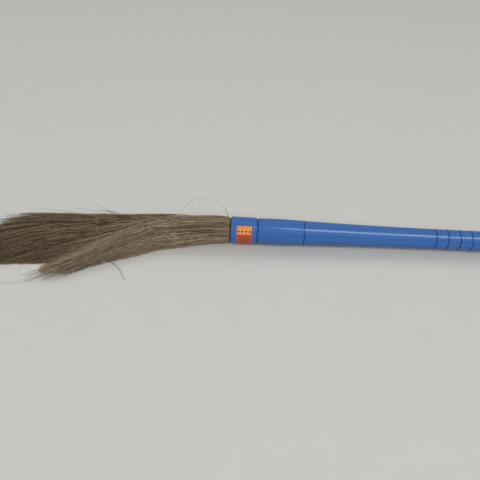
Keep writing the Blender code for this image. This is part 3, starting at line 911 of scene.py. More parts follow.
@dataclass
class EndCap(Piece):
    """The moulded plug with its flange, dome and flat tab with a hanging eye."""

    steps: int = 96
    arc_steps: int = 16
    eye_steps: int = 64
    plug_sharp_angle: float = math.radians(35)
    sharp_angle: float = math.radians(32)
    bevel_steps: int = 4
    tab_merge_distance: float = 0.005 * MM

    def plug_profile(self) -> list[Span]:
        """The section of the plug, flange and dome.

        Returns:
            Points as distance along the axis and radius.
        """
        s = self.sizes
        plug_radius = s.grip_radius - s.handle_wall - s.fit_gap
        plug_front = s.flange_front - s.cap_plug_length
        dome = arc((s.flange_rear, 0), (s.dome_height, s.flange_radius), math.pi / 2, 0, self.arc_steps)
        return dome + [
            (s.flange_front, s.flange_radius),
            (s.flange_front, plug_radius),
            (plug_front, plug_radius),
            (plug_front, plug_radius - s.cap_plug_wall),
            (s.flange_front, plug_radius - s.cap_plug_wall),
            (s.flange_front, 0),
        ]

    def tab_mesh(self) -> Mesh:
        """The tab with its eye, its edges rounded.

        Returns:
            The mesh, in the row's frame.
        """
        s = self.sizes
        half = s.tab_width / 2
        angles = [math.pi * (i / self.eye_steps - 0.5) for i in range(self.eye_steps + 1)]
        rim = [(s.flange_rear, -half)]
        rim += [(s.eye_place + half * math.cos(a), half * math.sin(a)) for a in angles]
        rim.append((s.flange_rear, half))
        eye = [(s.eye_place + s.eye_radius * math.cos(2 * a), s.eye_radius * math.sin(2 * a))
               for a in angles[:-1]]
        curve = bpy.data.curves.new("hanging_tab", "CURVE")
        curve.dimensions = "2D"
        curve.fill_mode = "BOTH"
        curve.extrude = s.tab_thickness / 2 - s.tab_rounding
        curve.bevel_depth = s.tab_rounding
        curve.bevel_resolution = self.bevel_steps
        curve.offset = -s.tab_rounding
        for outline in (rim, eye):
            spline = curve.splines.new("POLY")
            spline.points.add(len(outline) - 1)
            for point, place in zip(spline.points, outline):
                point.co = (*place, 0, 1)
            spline.use_cyclic_u = True
        shape = new_object("hanging_tab", curve)
        mesh = bpy.data.meshes.new_from_object(shape.evaluated_get(bpy.context.evaluated_depsgraph_get()))
        bpy.data.objects.remove(shape)
        work = bmesh.new()
        work.from_mesh(mesh)
        bmesh.ops.remove_doubles(work, verts=work.verts, dist=self.tab_merge_distance)
        bmesh.ops.recalc_face_normals(work, faces=work.faces)
        work.transform(self.axis.matrix @ Matrix.Rotation(math.pi / 2, 4, "X"))
        work.to_mesh(mesh)
        work.free()
        return mesh

    def mesh(self) -> Mesh:
        """The plug and the tab as one moulding.

        Returns:
            The mesh.
        """
        plug = turned_mesh("end_cap_plug", self.plug_profile(), self.steps, False, self.axis.matrix,
                           self.plug_sharp_angle)
        base = new_object("end_cap_plug", plug)
        tab = new_object("end_cap_tab", self.tab_mesh())
        union = base.modifiers.new("tab", "BOOLEAN")
        union.operation = "UNION"
        union.solver = "EXACT"
        union.object = tab
        graph = bpy.context.evaluated_depsgraph_get()
        mesh = bpy.data.meshes.new_from_object(base.evaluated_get(graph))
        mesh.name = self.name
        for used in (base, tab):
            bpy.data.objects.remove(used)
        mesh.shade_smooth()
        mesh.set_sharp_from_angle(angle=self.sharp_angle)
        return mesh


@dataclass
class Label(Piece):
    """The paper label, bent round the front of the collar."""

    distance: float = 7.9 * MM
    width: float = 20.6 * MM
    thickness: float = 0.15 * MM
    glue: float = 0.04 * MM
    top_angle: float = math.radians(55.0)
    bottom_angle: float = math.radians(-62.0)
    lift: float = 0.12 * MM
    lift_power: int = 6
    tear: float = 0.35 * MM
    tear_waves: Span = (37.0, 11.0)
    tear_shift: float = 1.0
    tear_power: int = 8
    columns: int = 40
    rows: int = 72

    def point(self, across: float, up: float) -> Vector:
        """A place on the label in the broom's frame.

        Args:
            across: From the mouth's side, zero, to the rear, one.
            up: From the bottom, zero, to the top, one.

        Returns:
            The place.
        """
        s = self.sizes
        fine, broad = self.tear_waves
        ragged = math.sin(across * fine) * math.sin(across * broad + self.tear_shift) * self.tear
        along = self.distance + self.width * across
        collar = s.collar_radius - s.collar_taper * along / s.collar_length
        off_across, off_up = abs(2.0 * across - 1.0), abs(2.0 * up - 1.0)
        angle = self.bottom_angle + (self.top_angle - self.bottom_angle) * up
        angle += ragged / collar * off_up ** self.tear_power
        corner = off_across ** self.lift_power * off_up ** self.lift_power
        radius = collar + self.glue + self.lift * corner
        return Vector((along, -radius * math.cos(angle), radius * math.sin(angle)))

    def mesh(self) -> Mesh:
        """The sheet, with the map that its print reads.

        Returns:
            The mesh, still without thickness.
        """
        width = self.columns + 1
        places = [(i / self.columns, j / self.rows) for j in range(self.rows + 1) for i in range(width)]
        faces = [(j * width + i, j * width + i + 1, (j + 1) * width + i + 1, (j + 1) * width + i)
                 for j in range(self.rows) for i in range(self.columns)]
        mesh = bpy.data.meshes.new(self.name)
        mesh.from_pydata([self.axis.matrix @ self.point(*place) for place in places], [], faces)
        flat = mesh.uv_layers.new(name="label_place")
        for loop in mesh.loops:
            flat.data[loop.index].uv = places[loop.vertex_index]
        mesh.shade_smooth()
        return mesh

    def build(self, material: Material) -> Object:
        """Build the label and give the sheet its thickness.

        Args:
            material: The printed paper.

        Returns:
            The piece.
        """
        piece = super().build(material)
        paper = piece.modifiers.new("paper", "SOLIDIFY")
        paper.thickness = self.thickness
        paper.offset = 1.0
        return piece


class Row(Enum):
    """The two layers of grass."""

    REAR = -1
    FRONT = 1


@dataclass(frozen=True)
class Layer:
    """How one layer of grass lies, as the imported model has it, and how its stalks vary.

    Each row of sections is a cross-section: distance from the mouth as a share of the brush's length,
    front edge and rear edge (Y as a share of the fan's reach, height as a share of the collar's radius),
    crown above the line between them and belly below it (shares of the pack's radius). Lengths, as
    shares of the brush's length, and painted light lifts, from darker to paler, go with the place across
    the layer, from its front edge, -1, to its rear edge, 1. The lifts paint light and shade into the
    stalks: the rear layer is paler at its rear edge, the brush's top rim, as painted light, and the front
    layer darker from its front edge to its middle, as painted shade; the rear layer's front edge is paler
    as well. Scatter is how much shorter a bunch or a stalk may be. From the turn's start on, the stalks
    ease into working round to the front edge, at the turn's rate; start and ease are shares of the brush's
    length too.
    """

    slot: str
    finish: DriedGrass
    sections: Table
    lengths: Table
    painted_light_lifts: Table
    scatter_share: float
    turn_start: float
    turn_ease: float
    turn_rate: float


LAYERS = {
    Row.REAR: Layer(
        slot="dark_grass",
        finish=DriedGrass("grass_dried_brown", "35281d", "77634f", "ac9676"),
        sections=((0.22, -0.18, 0.13, 0.17, 1.50, 0.29, 0.94),
                  (0.45, -0.46, 0.08, 0.21, 1.08, 0.74, 0.60),
                  (0.72, -0.605, 0.045, 0.23, 0.84, 0.62, 0.36),
                  (1.00, -0.69, 0.035, 0.21, 0.47, 0.47, 0.20)),
        lengths=((-1.0, 0.88), (-0.3, 1.0), (0.5, 0.93), (0.72, 0.84), (0.86, 0.785), (1.0, 0.755)),
        # painted light: paler at the rear edge, the brush's top rim; the front edge is paler as well
        painted_light_lifts=((-1.0, 0.40), (-0.7, 0.16), (-0.3, 0.0), (0.4, 0.0), (0.8, 0.18), (1.0, 0.30)),
        scatter_share=0.09,
        turn_start=0.40,
        turn_ease=0.35,
        turn_rate=2.5),
    Row.FRONT: Layer(
        slot="pale_grass",
        finish=DriedGrass("grass_dried_taupe", "382a1c", "85745e", "d2c0a0",
                          tip_colour="b4a489", tip_share=0.38),
        sections=((0.22, -0.24, 0.16, 0.085, 1.62, 0.94, 0.0),
                  (0.34, -0.43, 0.12, -0.10, 1.20, 0.86, 0.0),
                  (0.45, -0.635, 0.08, -0.435, 0.84, 0.74, 0.0),
                  (0.52, -0.83, 0.06, -0.60, 0.56, 0.58, 0.0),
                  (0.60, -1.08, 0.045, -0.72, 0.28, 0.42, 0.0)),
        lengths=((-1.0, 0.45), (-0.6, 0.485), (-0.35, 0.525), (0.0, 0.55), (0.4, 0.585), (1.0, 0.63)),
        # painted shade: darker from the front edge to the middle of the layer
        painted_light_lifts=((-1.0, -0.06), (-0.6, -0.10), (-0.1, -0.16), (0.3, -0.02), (1.0, 0.10)),
        scatter_share=0.26,
        turn_start=0.20,
        turn_ease=0.20,
        turn_rate=1.8),
}


def read_table(table: Table, places: Array) -> Array:
    """Read a table of places and values at other places."""
    knots, values = zip(*table)
    return np.interp(places, knots, values)


@dataclass(frozen=True)
class Fan:
    """How the two layers of grass fan out from the mouth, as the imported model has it."""

    sizes: Sizes
    axis: BroomAxis
    reach: float = 104.0 * MM
    belly_lean_share: float = 0.6
    mouth_spread: float = 0.4 * MM
    partition_angle: float = math.radians(45.0)
    joint_ease: float = 0.3

    def pack_place(self, row: Row, u: Array, v: Array) -> Array:
        """Places in a half pack as Y and Z in the broom's frame.

        Args:
            row: Which layer.
            u: Places across the pack.
            v: Places out from the partition.

        Returns:
            An array with Y and Z last.
        """
        c, s = math.cos(self.partition_angle), math.sin(self.partition_angle)
        return np.stack([c * u - s * row.value * v, s * u + c * row.value * v], axis=-1)

    def section(self, row: Row, share: Array) -> Array:
        """Read a layer's cross-section values, smooth between the table's rows.

        Args:
            row: Which layer.
            share: Distances from the mouth as shares of the brush's length.

        Returns:
            The six values first, each an array like share.
        """
        table = np.array(LAYERS[row].sections)
        knots, values = table[:, 0], table[:, 1:]
        slopes = np.gradient(values, knots, axis=0)
        slopes[0] *= self.joint_ease
        low = np.clip(np.searchsorted(knots, share) - 1, 0, len(knots) - 2)
        span = (knots[low + 1] - knots[low])[..., None]
        t = (share - knots[low])[..., None] / span
        past = np.clip(t - 1.0, 0.0, None)
        arrive = slopes[low + 1] * span
        curve = cubic(np.clip(t, 0.0, 1.0), values[low], slopes[low] * span, values[low + 1], arrive)
        return np.moveaxis(curve + arrive * past, -1, 0)

    def place(self, row: Row, share: Array, across: Array, depth: Array) -> Array:
        """Places in a layer's cross-sections as Y and Z in the broom's frame.

        Args:
            row: Which layer.
            share: Distances from the mouth as shares of the brush's length.
            across: From the front edge, -1, to the rear edge, 1.
            depth: From the partition, 0, to the layer's outside, 1.

        Returns:
            An array with Y and Z last.
        """
        s = self.sizes
        front_y, front_z, rear_y, rear_z, crown, belly = self.section(row, share)
        front = np.stack([front_y * self.reach, front_z * s.collar_radius], axis=-1)
        rear = np.stack([rear_y * self.reach, rear_z * s.collar_radius], axis=-1)
        line = rear - front
        normal = np.stack([-line[..., 1], line[..., 0]], axis=-1)
        normal = normal / np.linalg.norm(normal, axis=-1, keepdims=True)
        hang = belly * (1.0 + self.belly_lean_share * across)
        out = crown * depth if row is Row.FRONT else crown * (1.0 - depth) - hang * depth
        dome = np.sqrt(np.clip(1.0 - across * across, 0.0, 1.0)) * s.pack_radius
        flat = front + line * ((across + 1.0) / 2)[..., None] + normal * (dome * out)[..., None]
        axis_height = self.axis.mouth.z + share * s.brush_length * math.sin(self.axis.tip)
        return np.stack([flat[..., 0], (flat[..., 1] - axis_height) / math.cos(self.axis.tip)], axis=-1)


@dataclass
class Stalks:
    """Many stalks at once: their middle lines, radii and shades."""

    centres: Array
    radii: Array
    shade: Array
    hue: Array
    along: Array
    reach: Array

    def mesh(self, name: str, sides: int, twist: Array) -> Mesh:
        """Make closed tubes round the middle lines.

        Args:
            name: The mesh's name.
            sides: How many sides a stalk has.
            twist: How far each stalk is turned about its own line.

        Returns:
            The mesh, with each stalk's shades as attributes.
        """
        count, rings, _ = self.centres.shape
        run = np.gradient(self.centres, axis=1)
        run /= np.linalg.norm(run, axis=2, keepdims=True)
        side = np.cross(run, np.array([0.0, 0.0, 1.0]))
        side /= np.maximum(np.linalg.norm(side, axis=2, keepdims=True), TINY)
        over = np.cross(side, run)
        angles = twist[:, None] + np.arange(sides) * 2 * math.pi / sides
        corners = (self.centres[:, :, None]
                   + self.radii[:, :, None, None] * (np.cos(angles)[:, None, :, None] * side[:, :, None]
                                                     + np.sin(angles)[:, None, :, None] * over[:, :, None]))
        start = (np.arange(count) * rings * sides)[:, None, None]
        ring = (np.arange(rings - 1) * sides)[None, :, None]
        corner = np.arange(sides)[None, None, :]
        after = (corner + 1) % sides
        here, there = start + ring + corner, start + ring + after
        quads = np.stack([here, there, there + sides, here + sides], axis=-1).reshape(-1, 4)
        first = (start[:, 0] + np.arange(sides)[None, ::-1]).reshape(-1, sides)
        last = (start[:, 0] + (rings - 1) * sides + np.arange(sides)[None]).reshape(-1, sides)
        mesh = bpy.data.meshes.new(name)
        mesh.from_pydata(corners.reshape(-1, 3), [], quads.tolist() + first.tolist() + last.tolist())
        carried = {"stalk_shade": np.repeat(self.shade, rings * sides),
                   "stalk_hue": np.repeat(self.hue, rings * sides),
                   "stalk_along": np.repeat(self.along.reshape(-1), sides),
                   "stalk_reach": np.repeat(self.reach.reshape(-1), sides)}
        for label, values in carried.items():
            shades = mesh.attributes.new(label, "FLOAT", "POINT")
            shades.data.foreach_set("value", values.astype(np.float32))
        mesh.shade_smooth()
        return mesh


@dataclass(frozen=True)
class StrayHair:
    """A single stalk that has worked loose from its hank; its radius and points are in millimetres."""

    hank: int
    shade: float
    radius: float
    points: Table
    hue: float = 0.3
    smoothings: int = 3

    def line(self, axis: BroomAxis, samples: int) -> tuple[Array, Array]:
        """Run the hair smoothly through its points.

        Args:
            axis: The broom's axis.
            samples: How many places the line has.

        Returns:
            The places in the row's frame, and the hair's radius at each.
        """
        points = np.array(self.points) * MM + np.array((axis.mouth.x, axis.mouth.y, 0.0))
        run = np.concatenate([[0.0], np.cumsum(np.linalg.norm(np.diff(points, axis=0), axis=1))])
        places = np.linspace(0.0, run[-1], samples)
        line = np.stack([np.interp(places, run, points[:, i]) for i in range(3)], axis=1)
        for _ in range(self.smoothings):
            line[1:-1] = (line[:-2] + 2 * line[1:-1] + line[2:]) / 4
        radius = self.radius * MM
        return line, np.linspace(radius, radius / 2, samples)


# Stray hairs: the hank, the shade, the radius and the places, in millimetres from the collar's
# mouth, from the axis and from the table
STRAY_HAIRS = (
    StrayHair(1, 0.95, 0.2, (
        (-72.4, 20.7, 27), (-69.3, 23.8, 36), (-64.1, 28.3, 42), (-53.5, 33.8, 46), (-39.5, 34.3, 47.5),
        (-24.9, 33.0, 46), (-14.3, 25.3, 42), (-8.3, 18.1, 35), (-3.7, 11.9, 30))),
    StrayHair(1, 0.6, 0.15, ((-46.2, 33.3, 45), (-46, 24.5, 41), (-46, 15.9, 34))),
    StrayHair(1, 0.0, 0.42, ((-3.6, 9.1, 33), (-7.4, 15, 41), (-11.2, 20, 45))),
    StrayHair(5, 0.4, 0.2, (
        (-149.3, 14.2, 27), (-169.4, 18.3, 30), (-181.6, 22.3, 32), (-196.3, 28.9, 34),
        (-213.8, 33.5, 37))),
    StrayHair(5, 0.3, 0.2, ((-214.9, 15, 25), (-241.6, 20.3, 26), (-268.2, 22.4, 26), (-296.8, 21.8, 25))),
    StrayHair(5, 0.3, 0.2, (
        (-177.4, 14.5, 27), (-193.6, 18.1, 29), (-212.9, 21.2, 30), (-233.3, 22.8, 30))),
    StrayHair(5, 0.2, 0.3, (
        (-160, 16.5, 26.5), (-170, 18.6, 28.6), (-178, 19.8, 29.8), (-186, 20.6, 30.4))),
    StrayHair(5, 0.3, 0.3, ((-164, 17, 26.5), (-173, 18.8, 28.8), (-181, 20.2, 30.2))),
    StrayHair(5, 0.2, 0.3, ((-168, 17, 26.5), (-178, 19.2, 28.6), (-190, 20.4, 29.4))),
    StrayHair(6, 0.05, 0.35, (
        (-163.7, -55.9, 6), (-153.9, -61.9, 3.5), (-144.6, -69, 2), (-136.7, -81.6, 1.5),
        (-130.9, -93.4, 1.2))),
    StrayHair(6, 0.5, 0.2, (
        (-205.9, -69.5, 5), (-220.3, -76.6, 3), (-233, -89.2, 1.5), (-250, -101.3, 1.2),
        (-268.5, -105.1, 1.2), (-283.5, -105, 1.2))),
    StrayHair(8, 0.97, 0.25, (
        (-54.1, -19.7, 30), (-59.1, -31.6, 29), (-66.3, -33.2, 26), (-72, -29.6, 24))),
    StrayHair(8, 0.97, 0.25, (
        (-80, -33.9, 24), (-84.9, -33.3, 28), (-86.1, -29.4, 31), (-85.1, -20.7, 33))),
    StrayHair(6, 0.3, 0.25, (
        (-265.2, -69.3, 10), (-280, -73.9, 5), (-288.2, -78.2, 2), (-296.1, -81.6, 1.2))),
)


@dataclass
class MouthPlaces:
    """Where each stalk of a hank leaves the mouth, and how long it is.

    Across goes from the layer's front edge, -1, to its rear edge, 1. Depth goes from the partition, 0, to
    the layer's outside, 1. Bridge is how far a stalk stands from its layer towards the other, from 0 to 1.
    Length is a share of the brush's length.
    """

    across: Array
    depth: Array
    bridge: Array
    length: Array


@dataclass
class GrassHank(Piece):
    """One hank: small bunches of stalks, packed at the root and split into finer stalks towards the tips."""

    fan: Fan
    number: int
    row: Row
    column: int
    hairs: Sequence[StrayHair]
    bunches: int = 56
    stalks_per_bunch: int = 11
    bunch_clear_share: float = 0.055
    bunch_clear_chance: float = 0.9
    bridge_bunches: int = 9
    bridge_shares: Span = (0.15, 0.75)
    bridge_length_shares: Span = (0.42, 0.62)
    bunch_scatter_power: float = 1.5
    stalk_scatter_power: int = 2
    end_scatter_share: float = 0.5
    long_share: float = 0.08
    long_reach: float = 0.10
    samples: int = 17
    sample_power: float = 1.1
    sides: int = 3
    root_radius: float = 0.37 * MM
    tip_radius: float = 0.15 * MM
    radius_spread: Span = (0.7, 1.15)
    bunch_radius: float = 0.9 * MM
    waist_share: float = 0.55
    split_reach: float = 3.2 * MM
    split_power: float = 2.5
    mouth_bulge: float = 2.7 * MM
    bulge_place: float = 15.0 * MM
    fan_overrun: float = 0.12
    edge_floor: float = 0.001
    slope_step: float = 0.01
    bunch_swing: Span = (0.05, 0.20)
    stalk_swing: Span = (0.07, 0.26)
    swing_length: float = 180.0 * MM
    wave_height: float = 1.2 * MM
    wave_length: float = 45.0 * MM
    wave_power: float = 0.7
    middle_shade: float = 0.5
    bunch_contrast: float = 0.10
    stalk_contrast: float = 0.38
    pale_share: float = 0.08
    dark_share: float = 0.15
    bunch_hue_share: float = 0.7
    stalk_hue_share: float = 0.3
    neck_place: float = 24.0 * MM
    neck_share: float = 0.55
    neck_reach: float = 6.0 * MM
    peg_clear: float = 2.6 * MM
    table_clear: float = 0.5 * MM
    column_edge_shares: tuple[float, ...] = (-1.0, -0.49, -0.16, 0.16, 0.49, 1.0)

    @property
    def layer(self) -> Layer:
        """The layer that the hank is part of."""
        return LAYERS[self.row]

    @property
    def count(self) -> int:
        """How many stalks the hank has, without its stray hairs."""
        return self.bunches * self.stalks_per_bunch

    def bunch_places(self, rng: Generator) -> tuple[Array, Array]:
        """Places of the bunches in the hank's part of the half pack.

        Args:
            rng: The hank's own random numbers.

        Returns:
            Places across and out, each in -1 to 1 and 0 to 1 of the room there.
        """
        low, high = self.column_edge_shares[self.column:self.column + 2]
        across, depth = [], []
        while len(across) < self.bunches:
            u = rng.uniform(low, high)
            room = math.sqrt(max(1.0 - u * u, 0.0))
            v = rng.uniform(0.0, 1.0)
            if v > room:
                continue
            near = [math.hypot(u - a, v - d * math.sqrt(1.0 - a * a)) for a, d in zip(across, depth)]
            if near and min(near) < self.bunch_clear_share and rng.uniform() < self.bunch_clear_chance:
                continue
            across.append(u)
            depth.append(v / room)
        return np.array(across), np.array(depth)

    def mouth_places(self, rng: Generator) -> MouthPlaces:
        """Lay out the stalks, bunch by bunch.

        Args:
            rng: The hank's own random numbers.

        Returns:
            Where each stalk leaves the mouth, and how long it is.
        """
        scatter = self.layer.scatter_share
        across, depth = self.bunch_places(rng)
        bridge = np.zeros(self.bunches)
        length = read_table(self.layer.lengths, across)
        length = length * (1.0 - scatter * rng.random(self.bunches) ** self.bunch_scatter_power)
        chosen = np.argsort(depth)[:self.bridge_bunches]
        bridge[chosen] = rng.uniform(*self.bridge_shares, len(chosen))
        length[chosen] = rng.uniform(*self.bridge_length_shares, len(chosen))
        across, depth, bridge, length = (np.repeat(values, self.stalks_per_bunch)
                                         for values in (across, depth, bridge, length))
        length = length * (1.0 - scatter * rng.random(self.count) ** self.stalk_scatter_power)
        length *= 1.0 + self.long_reach * (rng.random(self.count) < self.long_share)
        last = self.last_share(across) * (1.0 - self.end_scatter_share * scatter * rng.random(self.count))
        return MouthPlaces(across, depth, bridge, np.minimum(length, last))

    def last_share(self, across: Array) -> Array:
        """Where stalks from these places across the layer run out over its front edge.

        Args:
            across: Places across the layer at the mouth.

        Returns:
            Distances from the mouth as shares of the brush's length.
        """
        ease = self.layer.turn_ease
        far = (2.0 + self.fan_overrun) / np.maximum(1.0 - across, self.edge_floor)
        turn = np.log(far) / self.layer.turn_rate
        past = np.where(turn < ease / 2, np.sqrt(2.0 * ease * np.maximum(turn, 0.0)), turn + ease / 2)
        return self.layer.turn_start + past

    def across_lines(self, across: Array, share: Array) -> Array:
        """Where each stalk stands across the layer on its way, as it works round to the front edge.

        Args:
            across: Each stalk's place across the layer at the mouth.
            share: Its distances from the mouth as shares of the brush's length.

        Returns:
            Places across, like share.
        """
        ease = self.layer.turn_ease
        past = np.clip(share - self.layer.turn_start, 0.0, None)
        turn = np.where(past < ease, past ** 2 / (2.0 * ease), past - ease / 2)
        return 1.0 - (1.0 - across[:, None]) * np.exp(self.layer.turn_rate * turn)

    def swings(self, rng: Generator, distance: Array) -> Array:
        """How far each stalk strays from its even course.

        Args:
            rng: The hank's own random numbers.
            distance: Distances from the mouth, one row for each stalk.

        Returns:
            An array with the swing across the layer and the swing out from the partition last.
        """
        turns = rng.uniform(0, 2 * math.pi, (self.count, 2))
        sizes = (np.repeat(rng.normal(0, self.bunch_swing, (self.bunches, 2)), self.stalks_per_bunch, axis=0)
                 + rng.normal(0, self.stalk_swing, (self.count, 2)))
        swings = np.sin(2 * math.pi * distance[..., None] / self.swing_length + turns[:, None])
        return (swings - np.sin(turns)[:, None]) * sizes[:, None]

    def roots(self, mouth: MouthPlaces) -> Array:
        """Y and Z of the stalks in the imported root.

        Args:
            mouth: The stalks' places at the mouth.

        Returns:
            An array with Y and Z last.
        """
        u, radius = mouth.across, self.sizes.pack_radius
        v = mouth.depth * np.sqrt(1.0 - u * u) * radius * (1.0 - mouth.bridge)
        return self.fan.pack_place(self.row, u * radius, v)

    def outside_lines(self, mouth: MouthPlaces, distance: Array, swing: Array) -> Array:
        """Y and Z of the stalks' lines outside the collar.

        Args:
            mouth: The stalks' places at the mouth.
            distance: Distances from the mouth, one row for each line.
            swing: How far each line strays across and out on its way.

        Returns:
            An array with Y and Z last.
        """
        fan, s = self.fan, self.sizes
        share = distance / s.brush_length
        first = self.layer.sections[0][0]
        lines = self.across_lines(mouth.across, share) + swing[..., 0]
        shape = np.clip(lines, -1.0 - self.fan_overrun, 1.0)
        deep = np.clip(mouth.depth[:, None] + swing[..., 1], 0.0, 1.0)
        other = Row(-self.row.value)

        def fanned(at: Array) -> Array:
            """The fan's place, with the lines between the layers drawn towards the other one.

            Args:
                at: Distances from the mouth as shares of the brush's length.

            Returns:
                An array with Y and Z last.
            """
            own = fan.place(self.row, at, shape, deep)
            far = fan.place(other, at, shape, np.zeros_like(deep))
            return own + (far - own) * mouth.bridge[:, None, None]

        outer = fanned(np.maximum(share, first))
        joint = fanned(np.full_like(share, first))
        slope = (fanned(np.full_like(share, first + self.slope_step)) - joint) / self.slope_step
        root = self.roots(mouth)
        start = (root * (1.0 + fan.mouth_spread / s.pack_radius))[:, None]
        inner = cubic(np.clip(share / first, 0.0, 1.0)[..., None], start, 0.0, joint, slope * first)
        swell = distance / self.bulge_place * np.exp(1.0 - distance / self.bulge_place)
        bulge = root[:, None] / s.pack_radius * (self.mouth_bulge * swell)[..., None]
        return np.where(share[..., None] < first, inner, outer) + bulge

    def inside_lines(self, root: Array, distance: Array) -> Array:
        """Y and Z of the stalks' lines inside the collar: straight, drawn in at the twine, clear of the peg.

        Args:
            root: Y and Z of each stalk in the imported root.
            distance: Distances in from the mouth.

        Returns:
            An array with Y and Z last.
        """
        middle = root.mean(axis=0)
        lines = np.repeat(root[:, None], len(distance), axis=1)
        neck = np.exp(-((distance - self.neck_place) / self.neck_reach) ** 2)[None, :, None]
        lines = middle + (lines - middle) * (1.0 - (1.0 - self.neck_share) * neck)
        reach = np.linalg.norm(lines, axis=2, keepdims=True)
        beyond = (distance > self.neck_place + self.neck_reach)[None, :, None]
        pushed = lines * np.maximum(self.peg_clear / np.maximum(reach, TINY), 1.0)
        return np.where(beyond, pushed, lines)

    def offsets(self, rng: Generator, out: Array, own: Array) -> Array:
        """How far each stalk stands off its bunch's line: apart from the others, and in waves.

        Args:
            rng: The hank's own random numbers.
            out: Distances out from the mouth, one row for each stalk.
            own: The same as shares of the stalk's own length.

        Returns:
            An array with Y and Z last.
        """
        turn = rng.uniform(0, 2 * math.pi, self.count)[:, None]
        reach = self.bunch_radius * np.sqrt(rng.random(self.count))[:, None]
        waist = 1.0 - (1.0 - self.waist_share) * np.sin(math.pi * np.clip(own, 0.0, 1.0)) ** 2
        split = self.split_reach * rng.random(self.count)[:, None] ** 2 * own ** self.split_power
        splay = reach * waist + split
        apart = np.stack([np.cos(turn) * splay, np.sin(turn) * splay], axis=-1)
        phase = rng.uniform(0, 2 * math.pi, (self.count, 2))[:, None]
        waves = np.sin(2 * math.pi * out[..., None] / self.wave_length + phase)
        growth = np.clip(out / self.sizes.brush_length, 0.0, 1.0) ** self.wave_power
        return apart + self.wave_height * waves * growth[..., None] * rng.random(self.count)[:, None, None]

    def shades(self, rng: Generator, across: Array) -> tuple[Array, Array]:
        """How pale and how olive each stalk is.

        Args:
            rng: The hank's own random numbers.
            across: Each stalk's place across the layer at the mouth.

        Returns:
            The shades and the hues.
        """
        each = self.stalks_per_bunch
        shade = np.repeat(rng.normal(self.middle_shade, self.bunch_contrast, self.bunches), each)
        shade = shade + rng.normal(0, self.stalk_contrast, self.count)
        # painted light and shade: each stalk paler or darker by its place across the layer
        shade = shade + read_table(self.layer.painted_light_lifts, across)
        odd = rng.random(self.count)
        shade = np.where(odd < self.pale_share, 1.0, np.where(odd > 1.0 - self.dark_share, 0.0, shade))
        hue = (np.repeat(rng.random(self.bunches), each) * self.bunch_hue_share
               + rng.random(self.count) * self.stalk_hue_share)
        return shade, hue

    def stalks(self) -> Stalks:
        """Work out every stalk of the hank, stray hairs last; the random draws keep their order.

        Returns:
            The stalks.
        """
        rng = np.random.default_rng(self.number)
        s = self.sizes
        mouth = self.mouth_places(rng)
        neck, reach = self.neck_place, self.neck_reach
        inside = np.array([s.pack_inset + s.pack_length, s.pack_inset + s.pack_length / 2,
                           neck + reach, neck, neck - reach, s.pack_inset])
        whole = mouth.length[:, None] * s.brush_length
        distance = whole * ((np.arange(self.samples) / (self.samples - 1)) ** self.sample_power)[None]
        inner = self.inside_lines(self.roots(mouth), inside)
        outer = self.outside_lines(mouth, distance, self.swings(rng, distance))
        out = np.concatenate([np.broadcast_to(-inside, (self.count, len(inside))), distance], axis=1)
        own = np.clip(out, 0.0, None) / whole
        flat = np.concatenate([inner, outer], axis=1) + self.offsets(rng, out, own)
        radii = self.root_radius + (self.tip_radius - self.root_radius) * own
        radii = radii * rng.uniform(*self.radius_spread, self.count)[:, None]
        local = np.concatenate([-out[..., None], flat], axis=2)
        centres = local @ np.array(self.axis.matrix.to_3x3()).T + np.array(self.axis.mouth)
        shade, hue = self.shades(rng, mouth.across)
        own = np.clip(own, 0, 1)
        for hair in self.hairs:
            line, thickness = hair.line(self.axis, centres.shape[1])
            centres = np.concatenate([centres, line[None]])
            radii = np.concatenate([radii, thickness[None]])
            own = np.concatenate([own, np.linspace(0, 1, centres.shape[1])[None]])
            shade, hue = np.append(shade, hair.shade), np.append(hue, hair.hue)
        reach = np.clip(self.axis.mouth.x - centres[..., 0], 0.0, None)
        lifted = np.maximum(centres[..., 2], self.table_clear + radii)
        centres[..., 2] = np.where(reach > 0, lifted, centres[..., 2])
        return Stalks(centres, radii, np.clip(shade, 0, 1), np.clip(hue, 0, 1), own, reach)

    def mesh(self) -> Mesh:
        """The hank's stalks, each turned by its own angle.

        Returns:
            The mesh.
        """
        stalks = self.stalks()
        twist = np.random.default_rng(self.number).uniform(0, math.pi, len(stalks.shade))
        return stalks.mesh(self.name, self.sides, twist)


@dataclass(frozen=True)
class Lamp:
    """A soft rectangular lamp that faces the broom.

    Its elevation is over the front horizon, its size is its length along X and its width, and its power is
    in watts. Along is how far it hangs towards the handle's end. It is seen in the gloss alone, or else it
    lights the surfaces and isn't seen in the gloss.
    """

    name: str
    elevation: float
    distance: float
    size: Span
    power: float
    along: float = 0.0
    gloss_only: bool = False


